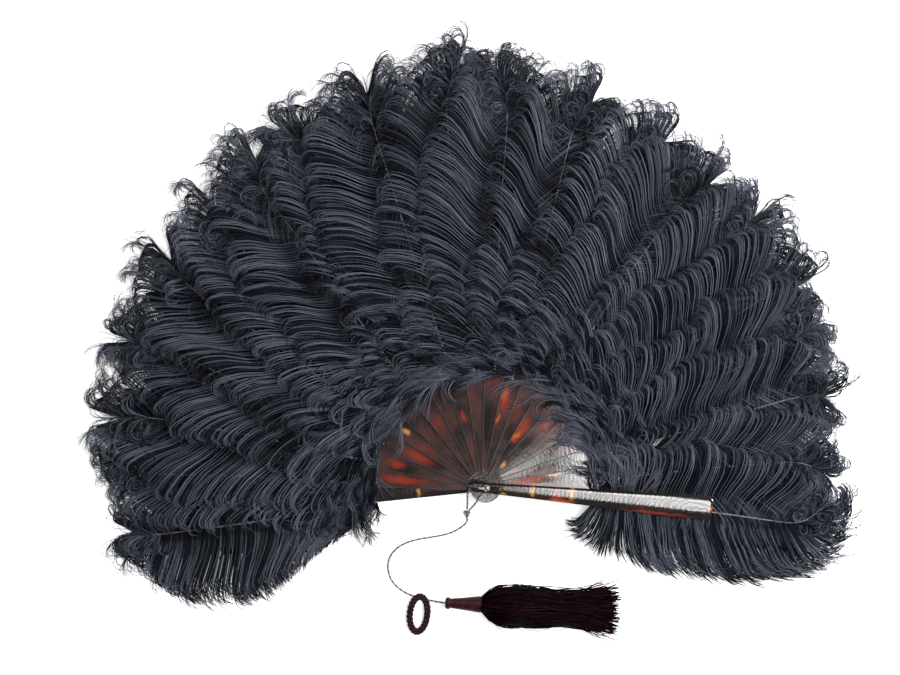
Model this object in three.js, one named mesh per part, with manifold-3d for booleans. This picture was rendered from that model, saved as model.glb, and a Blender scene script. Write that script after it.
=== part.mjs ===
// A folding fan of black ostrich plumes on tortoiseshell sticks, with a corded silk tassel.
// Millimetres, +Z up. The fan lies open on a table at z = 0, and the origin is the rivet's axis at table level.
// Seen from above, the front guard points to the right and lies on top, and the rear guard points to the left.
import * as THREE from 'three';
import { mergeVertices } from 'three/addons/utils/BufferGeometryUtils.js';
import Module from 'manifold-3d';

const wasm = await Module();
wasm.setup();

// Driving dimensions: the spread, in degrees from +X towards +Y
const STICK_COUNT = 18;
const FRONT_ANGLE = -5.4;
const OPEN_ANGLE = 189.4;
const PLUME_FRONT_ANGLE = -6.0;
const PLUME_OPEN_ANGLE = 194.5;
const FRONT = STICK_COUNT + 1;

// Driving dimensions: how far things reach from the rivet's axis
const STICK_HEAD = 14.5;
const STICK_SHOULDER = 102;
const STICK_TIP = 165;
const GUARD_HEAD = 15.3;
const GUARD_TIP = 204;
const PLUME_ROOT = 97;
const PLUME_REACH = { rear: 352, middle: 409, front: 322 };
const LONGEST_PLUME = 9;

// Driving dimensions: half-widths
const STICK_HALF = { head: 4.1, shoulder: 11.6, tongue: 1.9 };
const GUARD_HALF = { head: 4.4, tip: 11.4 };
const PLUME_HALF = 74;

// Driving dimensions: rivet
const PIN_RADIUS = 1.5;
const PIN_CLEARANCE = 0.4;
const RIVET_HEAD_RADIUS = 3.2;
const RIVET_FOOT_HEIGHT = 0.8;
const RIVET_SINK_DEPTH = 1.1;
const ROUND_SIDES = 12;

// Driving dimensions: heights in the stack
const GUARD_CROWN = 2.6;
const GUARD_EDGE = 1.1;
const LAYER_GAP = 0.14;
const PLUME_THICKNESS = 0.14;
const PLUME_LIFT = 0.02;
const CORD_DIAMETER = 1.6;

// Sticks and plumes thin out away from the rivet, so the open fan settles towards the table.
// Each ramp lists distances from the rivet's axis with the value there.
const REAR_GUARD_ROOM = [[16, 2.4], [205, 1.6], [420, 0.3]];
const LAYER_PITCH = [[16, 0.95], [97, 0.75], [420, 0.4]];
const CORD_ROOM = [[18, 2.1], [97, 0]];
const PLUME_ROOM = [[80, 0.1], [95, 0.28]];

// The cord's route from the knot to the tassel, with z at the cord's centre
const KNOT = [-17.0, -24.6, 2.6];
const KNOT_RADIUS = 2.3;
const CORD_ROUTE = [
  [-17.4, -28.0, 1.7],
  [-16.6, -31.2, 0.9],
  [-19.4, -35.2, 0.9],
  [-25.4, -39.4, 0.9],
  [-32.8, -42.8, 0.9],
  [-41.8, -45.0, 0.9],
  [-50.7, -46.5, 0.9],
  [-59.7, -48.0, 0.9],
  [-68.5, -50.3, 0.9],
  [-76.0, -53.5, 0.9],
  [-82.0, -58.0, 0.9],
  [-86.6, -64.2, 0.9],
  [-88.5, -71.4, 0.9],
  [-88.0, -77.5, 0.9],
  [-85.8, -84.2, 0.9],
  [-81.2, -90.2, 0.9],
  [-74.6, -95.4, 0.9],
  [-67.0, -99.1, 0.9],
  [-59.4, -101.6, 0.9],
  [-52.0, -103.2, 1.2],
  [-44.8, -104.2, 4.1],
  [-37.4, -104.9, 7.55],
];
const CORD_STEPS = 46;

// The loop of cord round the rivet's pin, under the front guard, from the knot and back to it
const LOOP_ROUND_PIN = 3.3;
const LOOP_RISE = [[-15.3, -22.0, 4.6], [-13.5, -19.4, 9.6], [-11.6, -16.8, 15.4], [-9.9, -14.3, 20.0]];
const LOOP_INNER = [[-7.8, -11.4], [-4.6, -7.2], [-0.6, -3.9]];
const LOOP_RETURN = [[-4.8, 1.2], [-9.2, -0.4], [-13.4, -1.8]];
const LOOP_FALL = [[-16.3, -4.4, 20.6], [-16.9, -9.2, 16.2], [-16.7, -14.8, 10.4], [-17.0, -20.4, 5.6]];
const LOOP_STEPS = 30;
const CORD_SIDES = 8;

// The braided finger ring that slides on the cord
const RING_CENTRE = [-60.8, -115.6, 4.15];
const RING_HALF_LENGTH = 16.2;
const RING_HALF_WIDTH = 7.9;
const RING_THICKNESS = 5.6;
const RING_TILT = 4.5;
const RING_TURN = -6;
const RING_STEPS = 20;

// The tassel: a covered wooden head and a silk skirt that lies flattened on the table
const TASSEL_START = [-36.9, -105.0, 7.55];
const TASSEL_TURN = -2.4;
const TASSEL_HEAD = [[0, 0], [4.2, 0.4], [5.2, 2.2], [4.6, 5.0], [5.0, 12], [6.2, 22], [7.4, 30], [7.0, 33],
  [0, 33]];
const TASSEL_SKIRT = [[0, 33.4], [9, 33.6], [15, 37], [19, 44], [20, 60], [18.6, 84], [19.2, 110], [23, 140],
  [23.5, 156], [0, 157]];
const SKIRT_FLATTENING = 0.56;

const rad = THREE.MathUtils.degToRad;

// Materials, with colours from the photographed fan
function material(color, roughness, metalness = 0) {
  return new THREE.MeshStandardMaterial({ color, roughness, metalness });
}
const tortoiseshell = material(0x3a1510, 0.25);
const feather = material(0x17191d, 0.8);
const gilt = material(0x8f7a52, 0.35, 1);
const silk = material(0x5b5a5c, 0.6);
const maroon = material(0x2a0d12, 0.65);

// Value of a ramp at a distance, held flat past its ends
function ramp(points, at) {
  if (at <= points[0][0]) return points[0][1];
  for (let i = 1; i < points.length; i++) {
    const [x0, y0] = points[i - 1];
    const [x1, y1] = points[i];
    if (at <= x1) return y0 + ((y1 - y0) * (at - x0)) / (x1 - x0);
  }
  return points[points.length - 1][1];
}

// Height of the underside of layer k at a distance from the rivet. Layers are cones about the rivet's axis,
// so sticks and plumes pass over each other without touching when the fan folds.
function layerFloor(k, r) {
  const cord = k === FRONT ? ramp(CORD_ROOM, r) : 0;
  return ramp(REAR_GUARD_ROOM, r) + k * ramp(LAYER_PITCH, r) + cord;
}

// A flat strip along +X with the given stations, half-width and heights, made from a subdivided box
function strip({ stations, across, halfWidth, bottom, top }) {
  const geometry = new THREE.BoxGeometry(1, 1, 1, stations.length - 1, across, 1);
  const position = geometry.attributes.position;
  for (let i = 0; i < position.count; i++) {
    const u = stations[Math.round((position.getX(i) + 0.5) * (stations.length - 1))];
    const side = 2 * position.getY(i);
    const v = side * halfWidth(u);
    const r = Math.hypot(u, v);
    const z = position.getZ(i) > 0 ? top(r, u, side) : bottom(r, u);
    position.setXYZ(i, u, v, z);
  }
  return geometry;
}

// Closed three.js geometry as a solid, and back
function toSolid(geometry) {
  const bare = geometry.clone();
  bare.deleteAttribute('normal');
  bare.deleteAttribute('uv');
  const merged = mergeVertices(bare, 1e-4);
  return new wasm.Manifold(new wasm.Mesh({
    numProp: 3,
    vertProperties: merged.attributes.position.array,
    triVerts: new Uint32Array(merged.index.array),
  }));
}

function toGeometry(solid) {
  const mesh = solid.getMesh();
  const geometry = new THREE.BufferGeometry();
  geometry.setAttribute('position', new THREE.BufferAttribute(mesh.vertProperties, 3));
  geometry.setIndex(new THREE.BufferAttribute(mesh.triVerts, 1));
  geometry.computeVertexNormals();
  return geometry;
}

// An upright cylinder on the rivet's axis, for cutting holes
function axisCylinder(radius, z0, z1) {
  const geometry = new THREE.CylinderGeometry(radius, radius, z1 - z0, ROUND_SIDES);
  geometry.rotateX(Math.PI / 2);
  geometry.translate(0, 0, (z0 + z1) / 2);
  return toSolid(geometry);
}

function pierced(geometry, ...cutters) {
  return toGeometry(cutters.reduce((solid, cutter) => solid.subtract(cutter), toSolid(geometry)));
}

function named(name, geometry, look) {
  const mesh = new THREE.Mesh(geometry, look);
  mesh.name = name;
  return mesh;
}

const HOLE_FROM = -5;
const HOLE_TO = 60;
const pinHole = axisCylinder(PIN_RADIUS + PIN_CLEARANCE, HOLE_FROM, HOLE_TO);

// Stations that follow a round end, from its far point to where the side runs straight
function roundEnd(far, radius, steps) {
  return Array.from({ length: steps }, (_, i) => far + radius * (1 - Math.cos((Math.PI / 2) * (i + 0.5) / steps)));
}

function roundedHalf(u, far, radius) {
  const inward = Math.min(Math.abs(u - far), radius);
  return Math.sqrt(Math.max(radius * radius - (radius - inward) ** 2, 0));
}

// A stick: a blade that widens from its rounded head, then a narrow tongue that the plume is bound to
function stickGeometry(k) {
  const { head, shoulder, tongue } = STICK_HALF;
  const blade = (u) => head + ((shoulder - head) * Math.max(u, 0)) / STICK_SHOULDER;
  const shoulderEnd = STICK_SHOULDER + 6;
  const outline = [[STICK_SHOULDER - 4, blade(STICK_SHOULDER - 4)], [STICK_SHOULDER, 10.4],
    [STICK_SHOULDER + 3, 7], [shoulderEnd, tongue + 0.8], [STICK_TIP - 2, tongue], [STICK_TIP, 0.9]];
  const halfWidth = (u) => {
    if (u < head - STICK_HEAD) return roundedHalf(u, -STICK_HEAD, head);
    return u < outline[0][0] ? blade(u) : ramp(outline, u);
  };
  const stations = [...roundEnd(-STICK_HEAD, head, 2), head - STICK_HEAD, 0, 16, 60, ...outline.map(([u]) => u)];
  const geometry = strip({
    stations,
    across: 2,
    halfWidth,
    bottom: (r) => layerFloor(k, r) + ramp(PLUME_ROOM, r),
    top: (r) => layerFloor(k, r) + ramp(LAYER_PITCH, r) - LAYER_GAP,
  });
  return pierced(geometry, pinHole);
}

function guardHalf(u) {
  const { head, tip } = GUARD_HALF;
  if (u < head - GUARD_HEAD) return roundedHalf(u, -GUARD_HEAD, head);
  const straight = head + ((tip - head) * Math.max(u, 0)) / GUARD_TIP;
  return Math.min(straight, ramp([[GUARD_TIP - 2.5, straight], [GUARD_TIP, straight - 2]], u));
}

const guardStations = [...roundEnd(-GUARD_HEAD, GUARD_HALF.head, 3), GUARD_HALF.head - GUARD_HEAD, 0, 16, 60, 105,
  160, GUARD_TIP - 2.5, GUARD_TIP];

// The front guard lies on top. Its face is level, bevelled along one side and rounded off along the other:
// this lists places across the guard with the share of the crown's height there.
const GUARD_FACE = [[-1, 0], [-0.75, 0.5], [-0.5, 0.88], [-0.25, 1], [0.75, 1], [1, 0]];
const GUARD_FACE_STRIPS = 8;
const frontGuardFloor = (r) => layerFloor(FRONT, r) + 0.28;
function frontGuardGeometry() {
  const crown = (side) => GUARD_EDGE + (GUARD_CROWN - GUARD_EDGE) * ramp(GUARD_FACE, side);
  const geometry = strip({
    stations: guardStations,
    across: GUARD_FACE_STRIPS,
    halfWidth: guardHalf,
    bottom: frontGuardFloor,
    top: (r, u, side) => frontGuardFloor(r) + crown(side),
  });
  return pierced(geometry, pinHole);
}

// The rear guard is flat and lies on the table.
function rearGuardGeometry() {
  const geometry = strip({
    stations: guardStations,
    across: 2,
    halfWidth: guardHalf,
    bottom: () => 0,
    top: (r) => ramp(REAR_GUARD_ROOM, r) - LAYER_GAP,
  });
  const sink = axisCylinder(RIVET_HEAD_RADIUS + PIN_CLEARANCE, HOLE_FROM, RIVET_SINK_DEPTH);
  return pierced(geometry, pinHole, sink);
}

// A plume: a thin leaf that reaches the tips of its barbs, longest in the middle of the fan
function plumeReach(k) {
  const { rear, middle, front } = PLUME_REACH;
  const share = k < LONGEST_PLUME
    ? (LONGEST_PLUME - k) / LONGEST_PLUME
    : (k - LONGEST_PLUME) / (FRONT - LONGEST_PLUME);
  return middle - (middle - (k < LONGEST_PLUME ? rear : front)) * share ** 0.9;
}

const PLUME_OUTLINE = [[0, 0.4], [0.08, 0.66], [0.22, 0.89], [0.4, 1], [0.56, 0.97], [0.72, 0.87], [0.86, 0.68],
  [0.95, 0.42], [1, 0.16]];
function plumeGeometry(k) {
  const reach = plumeReach(k);
  const share = (u) => (u - PLUME_ROOT) / (reach - PLUME_ROOT);
  const bottom = (r) => layerFloor(k, r) + PLUME_LIFT;
  return strip({
    stations: PLUME_OUTLINE.map(([s]) => PLUME_ROOT + s * (reach - PLUME_ROOT)),
    across: 4,
    halfWidth: (u) => PLUME_HALF * ramp(PLUME_OUTLINE, share(u)),
    bottom,
    top: (r) => bottom(r) + PLUME_THICKNESS,
  });
}

// The rivet: a pin with a flush foot, and a domed cap over the front guard
function lathe(profile, sides = ROUND_SIDES) {
  const geometry = new THREE.LatheGeometry(profile.map(([x, y]) => new THREE.Vector2(x, y)), sides);
  return toGeometry(toSolid(geometry));
}

const capFloor = frontGuardFloor(0) + GUARD_CROWN + 0.12;
function rivetGeometry() {
  const top = capFloor - 0.3;
  const geometry = lathe([[0, 0], [RIVET_HEAD_RADIUS, 0], [RIVET_HEAD_RADIUS, RIVET_FOOT_HEIGHT],
    [PIN_RADIUS, RIVET_FOOT_HEIGHT], [PIN_RADIUS, top], [0, top]]);
  return geometry.rotateX(Math.PI / 2);
}

function rivetCapGeometry() {
  const r = RIVET_HEAD_RADIUS;
  const geometry = lathe([[0, 0], [r, 0], [r, 0.45], [0.8 * r, 0.85], [0.45 * r, 1.15], [0, 1.25]]);
  geometry.rotateX(Math.PI / 2);
  return geometry.translate(0, 0, capFloor);
}

// A tube of cord along a smooth curve through the points
function cordTube(points, steps) {
  const route = new THREE.CatmullRomCurve3(points.map((p) => new THREE.Vector3(...p)), false, 'centripetal');
  const section = new THREE.Shape();
  section.absarc(0, 0, CORD_DIAMETER / 2, 0, 2 * Math.PI);
  return new THREE.ExtrudeGeometry(section, { extrudePath: route, steps, curveSegments: CORD_SIDES / 2 });
}

function cordLoopGeometry() {
  const room = ramp(CORD_ROOM, 0) + LAYER_GAP;
  const z = layerFloor(FRONT, 0) - ramp(CORD_ROOM, 0) - LAYER_GAP + room / 2 + 0.05;
  const level = ([x, y]) => [x, y, z];
  const aroundPin = [-35, 20, 75, 130].map((turn) => {
    const a = rad(turn);
    return [LOOP_ROUND_PIN * Math.cos(a), LOOP_ROUND_PIN * Math.sin(a), z];
  });
  return cordTube([...LOOP_RISE, ...LOOP_INNER.map(level), ...aroundPin, ...LOOP_RETURN.map(level), ...LOOP_FALL],
    LOOP_STEPS);
}

function knotGeometry() {
  const geometry = new THREE.SphereGeometry(KNOT_RADIUS, 12, 8);
  return toGeometry(toSolid(geometry)).translate(...KNOT);
}

// The finger ring: an oval loop of round braid, a little raised where it rides on the cord
function ringGeometry() {
  const mean = (RING_HALF_LENGTH + RING_HALF_WIDTH) / 2;
  const geometry = new THREE.TorusGeometry(mean, RING_THICKNESS / 2, CORD_SIDES, RING_STEPS);
  const position = geometry.attributes.position;
  for (let i = 0; i < position.count; i++) {
    const x = position.getX(i);
    const y = position.getY(i);
    const outward = Math.hypot(x, y) - mean;
    const a = Math.atan2(y, x);
    const normal = new THREE.Vector2(RING_HALF_LENGTH * Math.cos(a), RING_HALF_WIDTH * Math.sin(a)).normalize();
    position.setX(i, RING_HALF_WIDTH * Math.cos(a) + outward * normal.x);
    position.setY(i, RING_HALF_LENGTH * Math.sin(a) + outward * normal.y);
  }
  geometry.rotateX(rad(RING_TILT));
  geometry.rotateZ(rad(RING_TURN));
  return geometry.translate(...RING_CENTRE);
}

// The tassel's pieces are turned shapes laid along +X
function tasselGeometry(profile, flattening) {
  const geometry = lathe(profile, 14);
  geometry.rotateZ(-Math.PI / 2);
  return geometry.scale(1, 1, flattening);
}

const fan = new THREE.Group();

// Sticks, guards and plumes, each turned about the rivet to its place in the spread
const turnOf = (k, front, open) => rad(front + (open * (FRONT - k)) / FRONT);
const pad = (k) => String(k).padStart(2, '0');
for (let k = 0; k <= FRONT; k++) {
  const ends = { 0: 'rear', [FRONT]: 'front' };
  const place = ends[k] ?? pad(k);
  const carrier = k === 0
    ? named('rear_guard', rearGuardGeometry(), tortoiseshell)
    : k === FRONT
      ? named('front_guard', frontGuardGeometry(), tortoiseshell)
      : named(`stick_${place}`, stickGeometry(k), tortoiseshell);
  carrier.rotation.z = turnOf(k, FRONT_ANGLE, OPEN_ANGLE);
  const plume = named(`plume_${place}`, plumeGeometry(k), feather);
  plume.rotation.z = turnOf(k, PLUME_FRONT_ANGLE, PLUME_OPEN_ANGLE);
  fan.add(carrier, plume);
}

fan.add(
  named('rivet', rivetGeometry(), gilt),
  named('rivet_cap', rivetCapGeometry(), gilt),
  named('cord_loop', cordLoopGeometry(), silk),
  named('cord_knot', knotGeometry(), silk),
  named('cord', cordTube(CORD_ROUTE, CORD_STEPS), silk),
  named('finger_ring', ringGeometry(), maroon),
);

const tassel = new THREE.Group();
tassel.position.set(...TASSEL_START);
tassel.rotation.z = rad(TASSEL_TURN);
const skirt = named('tassel_skirt', tasselGeometry(TASSEL_SKIRT, SKIRT_FLATTENING), maroon);
skirt.position.z = SKIRT_FLATTENING * Math.max(...TASSEL_SKIRT.map(([r]) => r)) - TASSEL_START[2] + 0.05;
const tasselHead = named('tassel_head', tasselGeometry(TASSEL_HEAD, 1), maroon);
tassel.add(tasselHead, skirt);
fan.add(tassel);

export default fan;
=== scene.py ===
"""Looks of a folding fan of black ostrich plumes on tortoiseshell sticks, with a corded silk tassel.

Everything is in metres in the part's own frame: the fan lies open on the floor at z = 0, the rivet's axis is
the Z axis, the front guard points along +X and the longest plumes along +Y.
"""

import logging
import math
from collections.abc import Sequence
from dataclasses import dataclass, field
from enum import Enum

import bpy
import numpy as np
from mathutils import Matrix, Vector


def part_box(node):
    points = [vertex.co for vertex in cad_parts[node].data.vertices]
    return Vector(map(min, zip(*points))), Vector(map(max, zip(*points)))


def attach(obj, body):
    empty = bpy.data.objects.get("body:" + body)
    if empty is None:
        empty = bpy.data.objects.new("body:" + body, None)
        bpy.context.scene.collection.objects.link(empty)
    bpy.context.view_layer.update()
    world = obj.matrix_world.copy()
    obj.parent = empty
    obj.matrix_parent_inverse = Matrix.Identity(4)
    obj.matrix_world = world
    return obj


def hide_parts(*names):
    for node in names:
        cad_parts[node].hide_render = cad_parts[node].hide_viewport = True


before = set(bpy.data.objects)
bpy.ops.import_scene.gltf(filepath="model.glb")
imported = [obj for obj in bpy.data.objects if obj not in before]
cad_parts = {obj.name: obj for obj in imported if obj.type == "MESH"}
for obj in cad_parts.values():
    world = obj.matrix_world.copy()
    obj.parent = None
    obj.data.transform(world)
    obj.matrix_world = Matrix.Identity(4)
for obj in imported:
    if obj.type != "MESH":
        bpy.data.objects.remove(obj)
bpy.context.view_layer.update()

MM = 0.001
LOG = logging.getLogger("feather_fan")
Points = Sequence[tuple[float, ...]]


class Half(Enum):
    """How one half of a plume lies in the fan."""

    OVER = "lies over the plume to its left"
    UNDER = "is tucked under the plume to its right"
    FRONT_EDGE = "hangs free below the front guard"
    REAR_EDGE = "lies free at the rear guard"


class Glow(Enum):
    """Colours that show through thin places in the tortoiseshell."""

    RED = (0.20, 0.022, 0.008, 1.0)
    AMBER = (0.36, 0.08, 0.012, 1.0)
    GOLD = (0.45, 0.20, 0.04, 1.0)


def ramp(points: Points, at: np.ndarray | float) -> np.ndarray:
    """Reads a ramp, held flat past its ends.

    Args:
        points: Pairs of position and value.
        at: Positions to read.

    Returns:
        The value at each position.
    """
    table = np.array(points, float)
    return np.interp(at, table[:, 0], table[:, 1])


def smooth(x: np.ndarray | float) -> np.ndarray:
    """Smooth step from 0 to 1 as x goes from 0 to 1."""
    c = np.clip(x, 0.0, 1.0)
    return c * c * (3.0 - 2.0 * c)


def wander(rng: np.random.Generator, at: np.ndarray, spacing: float) -> np.ndarray:
    """Smooth random values along a line.

    Args:
        rng: Source of randomness.
        at: Positions along the line, from 0.
        spacing: Distance between the random knots.

    Returns:
        Values from -1 to 1 that change smoothly with position.
    """
    knots = rng.uniform(-1.0, 1.0, int(np.max(at) / spacing) + 3)
    cell = np.clip(at / spacing, 0, len(knots) - 2)
    low = cell.astype(int)
    share = smooth(cell - low)
    return knots[low] * (1 - share) + knots[low + 1] * share


def unit(vectors: np.ndarray) -> np.ndarray:
    """Vectors scaled to length one along the last axis."""
    return vectors / np.maximum(np.linalg.norm(vectors, axis=-1, keepdims=True), 1e-12)


def turned(points: np.ndarray, degrees: float) -> np.ndarray:
    """Points turned about the rivet's axis by an angle in degrees."""
    a = math.radians(degrees)
    x, y = points[..., 0], points[..., 1]
    return np.stack([x * math.cos(a) - y * math.sin(a), x * math.sin(a) + y * math.cos(a), points[..., 2]], -1)


@dataclass
class MeshParts:
    """Vertices and faces gathered for one mesh, with a tone for each vertex and a finish for each face."""

    vertices: list[np.ndarray] = field(default_factory=list)
    quads: list[np.ndarray] = field(default_factory=list)
    tones: list[np.ndarray] = field(default_factory=list)
    finishes: list[np.ndarray] = field(default_factory=list)
    count: int = 0

    def add(self, vertices: np.ndarray, quads: np.ndarray, tone: np.ndarray | float, finish: int = 0) -> None:
        """Adds a set of vertices and quads.

        Args:
            vertices: Positions, one row each.
            quads: Four vertex numbers in each row, counted within this set.
            tone: Tone of each vertex, or one for all.
            finish: Number of the material slot.
        """
        self.vertices.append(vertices)
        self.quads.append(quads + self.count)
        self.tones.append(np.broadcast_to(np.asarray(tone, float), len(vertices)))
        self.finishes.append(np.full(len(quads), finish))
        self.count += len(vertices)

    def build(self, name: str, *materials: bpy.types.Material) -> bpy.types.Object:
        """Makes the mesh object in the scene.

        Args:
            name: Name of the piece.
            materials: Its material slots, in order.

        Returns:
            The new object.
        """
        vertices, quads = np.concatenate(self.vertices), np.concatenate(self.quads)
        mesh = bpy.data.meshes.new(name)
        mesh.vertices.add(len(vertices))
        mesh.vertices.foreach_set("co", vertices.astype(np.float32).ravel())
        mesh.loops.add(quads.size)
        mesh.loops.foreach_set("vertex_index", quads.astype(np.int32).ravel())
        mesh.polygons.add(len(quads))
        mesh.polygons.foreach_set("loop_start", np.arange(0, quads.size, 4, dtype=np.int32))
        mesh.polygons.foreach_set("material_index", np.concatenate(self.finishes).astype(np.int32))
        mesh.attributes.new("tone", "FLOAT", "POINT").data.foreach_set(
            "value", np.concatenate(self.tones).astype(np.float32))
        mesh.update(calc_edges=True)
        mesh.validate()
        mesh.shade_smooth()
        for material in materials:
            mesh.materials.append(material)
        made = bpy.data.objects.new(name, mesh)
        bpy.context.scene.collection.objects.link(made)
        return made


def strip_quads(strands: int, stations: int, sides: int, closed: bool) -> np.ndarray:
    """Faces of many strands, each a grid of stations by sides.

    Args:
        strands: Number of strands.
        stations: Stations along each strand.
        sides: Vertices at each station.
        closed: Whether the sides join up into a tube.

    Returns:
        Four vertex numbers in each row.
    """
    around = sides if closed else sides - 1
    strand, station, side = np.meshgrid(
        np.arange(strands), np.arange(stations - 1), np.arange(around), indexing="ij")
    start = (strand * stations + station) * sides
    after = (side + 1) % sides
    corners = [start + side, start + after, start + sides + after, start + sides + side]
    return np.stack(corners, -1).reshape(-1, 4)


def dense_curve(points: Points, spacing: float, closed: bool = False) -> np.ndarray:
    """A smooth curve through points, sampled evenly.

    Args:
        points: Points to pass through, in metres.
        spacing: Distance between samples.
        closed: Whether the curve joins its ends.

    Returns:
        Samples along the curve, one row each.
    """
    p = np.array(points, float)
    ends = (p[-1], p[0], p[1]) if closed else (2 * p[0] - p[1], None, 2 * p[-1] - p[-2])
    tail = [ends[1], ends[2]] if closed else [ends[2]]
    q = np.vstack([ends[0], p, *tail])
    fine = []
    for a, b, c, d in zip(q, q[1:], q[2:], q[3:], strict=False):
        t = np.linspace(0, 1, 24, endpoint=False)[:, None]
        fine.append(0.5 * (2 * b + (c - a) * t + (2 * a - 5 * b + 4 * c - d) * t**2
                           + (3 * b - a - 3 * c + d) * t**3))
    fine.append(q[-2][None])
    line = np.vstack(fine)
    along = np.concatenate([[0], np.cumsum(np.linalg.norm(np.diff(line, axis=0), axis=1))])
    even = np.linspace(0, along[-1], max(int(along[-1] / spacing), 8) + 1)
    return np.stack([np.interp(even, along, line[:, i]) for i in range(3)], -1)


def carried_frames(line: np.ndarray) -> tuple[np.ndarray, np.ndarray]:
    """Two directions across a curve at each point, carried along it without twist.

    Args:
        line: Points along the curve.

    Returns:
        The first and second directions across, one row for each point.
    """
    tangent = unit(np.gradient(line, axis=0))
    first = np.empty_like(line)
    start = np.array([0.0, 0.0, 1.0]) if abs(tangent[0, 2]) < 0.9 else np.array([1.0, 0.0, 0.0])
    previous = start
    for i, t in enumerate(tangent):
        previous = unit(previous - t * (previous @ t))
        first[i] = previous
    return first, np.cross(tangent, first)


def tube(line: np.ndarray, radius: np.ndarray, sides: int) -> tuple[np.ndarray, np.ndarray]:
    """A closed tube along a curve.

    Args:
        line: Points along the curve.
        radius: Radius at each point and side, or at each point.
        sides: Number of sides.

    Returns:
        Vertices and quads. The ends are drawn in to a point.
    """
    first, second = carried_frames(line)
    turn = np.linspace(0, 2 * math.pi, sides, endpoint=False)
    reach = radius if radius.ndim == 2 else np.repeat(radius[:, None], sides, 1)
    across = first[:, None] * np.cos(turn)[None, :, None] + second[:, None] * np.sin(turn)[None, :, None]
    rings = line[:, None] + across * reach[..., None]
    rings = np.concatenate([np.repeat(line[:1, None], sides, 1), rings, np.repeat(line[-1:, None], sides, 1)])
    return rings.reshape(-1, 3), strip_quads(1, len(rings), sides, True)


def ribbons(paths: np.ndarray, width: np.ndarray, roll: np.ndarray) -> tuple[np.ndarray, np.ndarray]:
    """Flat ribbons along many paths.

    Args:
        paths: Points, by strand and station.
        width: Width at each strand and station.
        roll: Turn of the ribbon about its path at each strand and station, in radians.

    Returns:
        Vertices and quads.
    """
    tangent = unit(np.gradient(paths, axis=1))
    level = unit(np.cross(tangent, np.array([0.0, 0.0, 1.0])))
    rise = np.cross(level, tangent)
    across = level * np.cos(roll)[..., None] + rise * np.sin(roll)[..., None]
    half = across * (width / 2)[..., None]
    vertices = np.stack([paths - half, paths + half], 2)
    return vertices.reshape(-1, 3), strip_quads(paths.shape[0], paths.shape[1], 2, False)


class NodeSketch:
    """A small hand for drawing shader nodes in a tree."""

    def __init__(self, tree: bpy.types.NodeTree) -> None:
        """Starts on a tree, with its old nodes cleared."""
        self.tree = tree
        self.tree.nodes.clear()

    def add(self, kind: str, inputs: dict[str | int, object] | None = None,
            **settings: object) -> bpy.types.Node:
        """Adds a node.

        Args:
            kind: Type of the node, without its ShaderNode prefix.
            inputs: Values or sockets for its inputs, by name or number.
            settings: Its other settings.

        Returns:
            The node.
        """
        node = self.tree.nodes.new(kind if kind.startswith("Node") else f"ShaderNode{kind}")
        for key, value in settings.items():
            setattr(node, key, value)
        for key, value in (inputs or {}).items():
            if isinstance(value, bpy.types.NodeSocket):
                self.tree.links.new(value, node.inputs[key])
            else:
                node.inputs[key].default_value = value
        return node

    def colours(self, factor: bpy.types.NodeSocket, stops: Points) -> bpy.types.NodeSocket:
        """A colour ramp.

        Args:
            factor: Socket that drives it.
            stops: Position, red, green and blue of each stop.

        Returns:
            The colour socket.
        """
        node = self.add("ValToRGB", {"Fac": factor})
        elements = node.color_ramp.elements
        while len(elements) < len(stops):
            elements.new(0.5)
        for element, (position, *colour) in zip(elements, stops, strict=True):
            element.position = position
            element.color = (*colour, 1.0)
        return node.outputs["Color"]

    def mixed(self, factor: object, a: object, b: object, blend: str = "MIX") -> bpy.types.NodeSocket:
        """Two colours mixed by a factor.

        Args:
            factor: Share of the second colour, a value or socket.
            a: First colour, a value or socket.
            b: Second colour, a value or socket.
            blend: Way of mixing.

        Returns:
            The colour socket.
        """
        node = self.add("Mix", {0: factor, 6: a, 7: b}, data_type="RGBA", blend_type=blend)
        return node.outputs[2]

    def spread(self, value: bpy.types.NodeSocket, low: float, high: float, a: float = 0.0,
               b: float = 1.0) -> bpy.types.NodeSocket:
        """A value from a to b mapped to low to high, smoothly.

        Args:
            value: Socket to map.
            low: Result at a.
            high: Result at b.
            a: Value that gives low.
            b: Value that gives high.

        Returns:
            The mapped socket.
        """
        node = self.add("MapRange", {0: value, 1: a, 2: b, 3: low, 4: high}, interpolation_type="SMOOTHSTEP")
        return node.outputs[0]

    def bump(self, height: bpy.types.NodeSocket, distance: float, strength: float) -> bpy.types.NodeSocket:
        """A bump from a height.

        Args:
            height: Socket that gives the height.
            distance: Height of the bump in metres.
            strength: Share of the bump that shows.

        Returns:
            The normal socket.
        """
        node = self.add("Bump", {"Height": height, "Distance": distance, "Strength": strength})
        return node.outputs["Normal"]


def node_group(name: str, inputs: dict[str, str], outputs: dict[str, str]) -> bpy.types.NodeTree:
    """An empty shader node group with named sockets.

    Args:
        name: Name of the group.
        inputs: Socket kind by name, without the NodeSocket prefix.
        outputs: Socket kind by name.

    Returns:
        The group's node tree.
    """
    tree = bpy.data.node_groups.new(name, "ShaderNodeTree")
    for direction, sockets in (("INPUT", inputs), ("OUTPUT", outputs)):
        for socket, kind in sockets.items():
            tree.interface.new_socket(socket, in_out=direction, socket_type=f"NodeSocket{kind}")
    return tree


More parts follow.
